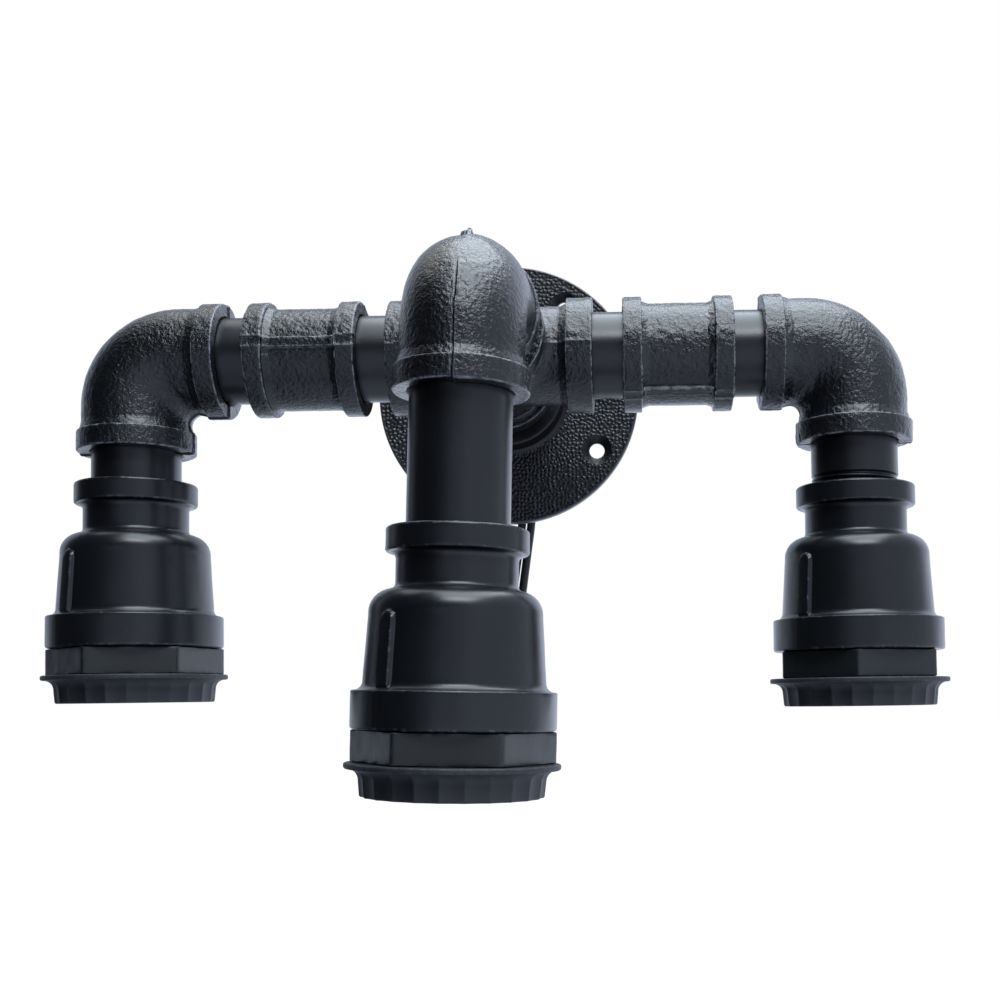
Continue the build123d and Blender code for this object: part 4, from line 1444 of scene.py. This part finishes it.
def nylon():
    dark, pale = (0.62, 0.61, 0.56), (0.74, 0.73, 0.68)
    return cloudy("natural_nylon", 3.0, dark, pale, (0.48, 0.1), grain=(0.4, 2.0, 0.02, 0.4))


bare_copper = copper()
finishes |= {"contact_brass": brass(), "plated_screws": plated_steel(), "insert_ceramic": porcelain()}
finishes |= {"lead_sleeve": wire_sleeve(), "connector_nylon": nylon()}

# %% [markdown]
# ## Every piece gets its finish
#
# A drawn piece takes the finish of its slot. A CAD node keeps its mesh and gets the finish in its own
# material slots. The stripped wire ends stand in the brass slot, but they are copper.

# %% Finishes onto pieces
for slot, pieces in dressed.items():
    for piece in pieces:
        piece.data.materials.clear()
        piece.data.materials.append(finishes[slot])
for subpart in frame["record"]["subparts"]:
    for place in frame["nodes"][subpart["node"]].material_slots:
        place.material = finishes[subpart["material_slot"]]
for name in TAIL_ROUTES:
    bpy.data.objects[name.replace("tail_wire", "bare_end")].data.materials[0] = bare_copper
print(len(finishes) + 1, "finishes")

# %% [markdown]
# ## Floor and lights
#
# Black paint has hardly any colour of its own: what one sees is the room in its gloss. The photograph was
# lit from above, so tops are pale blue-grey and sides fall off to near black. A wide soft light hangs over
# the object, a smaller one carries it on towards the front and a dim one hangs to the left. The floor is a
# pale sheet far below. It glows by itself and stays out of the reflections, so it can't tint the black.

# %% Stage
FLOOR_DROP, FLOOR_HALF = 1400.0, 60000.0
CEILING = 900.0


def plain_floor():
    """A large pale square, well below the object."""
    corners = np.array([(-1, -1), (1, -1), (1, 1), (-1, 1)]) * FLOOR_HALF
    points = np.column_stack([corners, np.full(4, -FLOOR_DROP)])
    mesh = bpy.data.meshes.new("floor")
    mesh.from_pydata(points * MM, [], [(0, 1, 2, 3)])
    floor = added("floor", mesh)
    finish = Finish("floor_paper")
    pale = finish.mix(finish.noise(30.0, detail=2.0), (0.97, 0.97, 0.97), (1, 1, 1))
    grey = (0.1, 0.1, 0.1)
    paper = finish.principled(base_color=grey, roughness=0.9, emission_color=pale, emission_strength=1.0)
    mesh.materials.append(paper)
    floor.visible_glossy = floor.visible_diffuse = False


def ceiling_light(name, middle, size, power, colour):
    """A rectangular light under the ceiling that faces straight down; places are in millimetres."""
    data = bpy.data.lights.new(name, "AREA")
    data.shape, data.size, data.size_y = "RECTANGLE", size[0] * MM, size[1] * MM
    data.energy, data.color = power, colour
    light = added(name, data)
    light.location = Vector((*middle, CEILING)) * MM
    light.visible_camera = False


plain_floor()
ceiling_light("ceiling_light", (190, -120), (820, 1350), 20.5, (0.84, 0.94, 1.04))
ceiling_light("front_ceiling_light", (240, -1015), (720, 440), 13.0, (0.86, 0.94, 1.02))
ceiling_light("left_ceiling_light", (-475, 240), (510, 640), 1.8, (0.94, 0.95, 0.93))
print(len(bpy.data.lights), "lights")

# %% [markdown]
# ## The room that the gloss shows
#
# A world shader gives a brightness to every direction, so a room can be drawn as a few smooth steps on the
# direction's three parts: across, away and up. The left side is dark, and the dark leans over to the right
# higher up. A band near the middle is a little dimmer, low down it is paler, and so is the floor.
# Far behind the object the pale background itself shows in the gloss. A Mix Shader on the Light Path's
# camera ray keeps all this out of the picture's own background.

# %% Background
def studio_room():
    """Plain white for the camera; for shine, a room that is dark on the left and palest far behind."""
    room = Finish("room", bpy.data.worlds)
    direction = room.node("TexCoord", output=0)
    across, away, up = (room.node("SeparateXYZ", {}, {0: direction}, output=k) for k in range(3))
    lean = room.ramp(up, 0.10, 0.36) * 0.7
    right = room.ramp(across - lean, -0.70, 0.0)
    far = room.ramp(away, 0.30, 0.54) * room.ramp(up, -0.45, -0.05) * room.ramp(up, 0.80, 0.50)
    low = room.ramp(up, 0.04, -0.12) * room.ramp(up, -0.84, -0.55)
    middle = room.ramp(across, -0.12, 0.06) * room.ramp(across, 0.32, 0.16) * room.ramp(up, 0.22, 0.10)
    below = room.ramp(up, -0.84, -0.97)
    glow = 0.035 + right * (0.72 + low * 0.38 - middle * 0.34) + far * 0.85 + below * 0.35
    dim = room.node("Background", {}, {"Color": (0.80, 0.90, 1.10), "Strength": glow})
    pale = room.node("Background", {}, {"Color": (1, 1, 1), "Strength": 1.0})
    camera_ray = room.node("LightPath", output=0)
    return room.closed(room.node("MixShader", {}, {0: camera_ray, 1: dim, 2: pale}), "ShaderNodeOutputWorld")


bpy.context.scene.world = studio_room()
bpy.context.scene.view_settings.view_transform = "Standard"
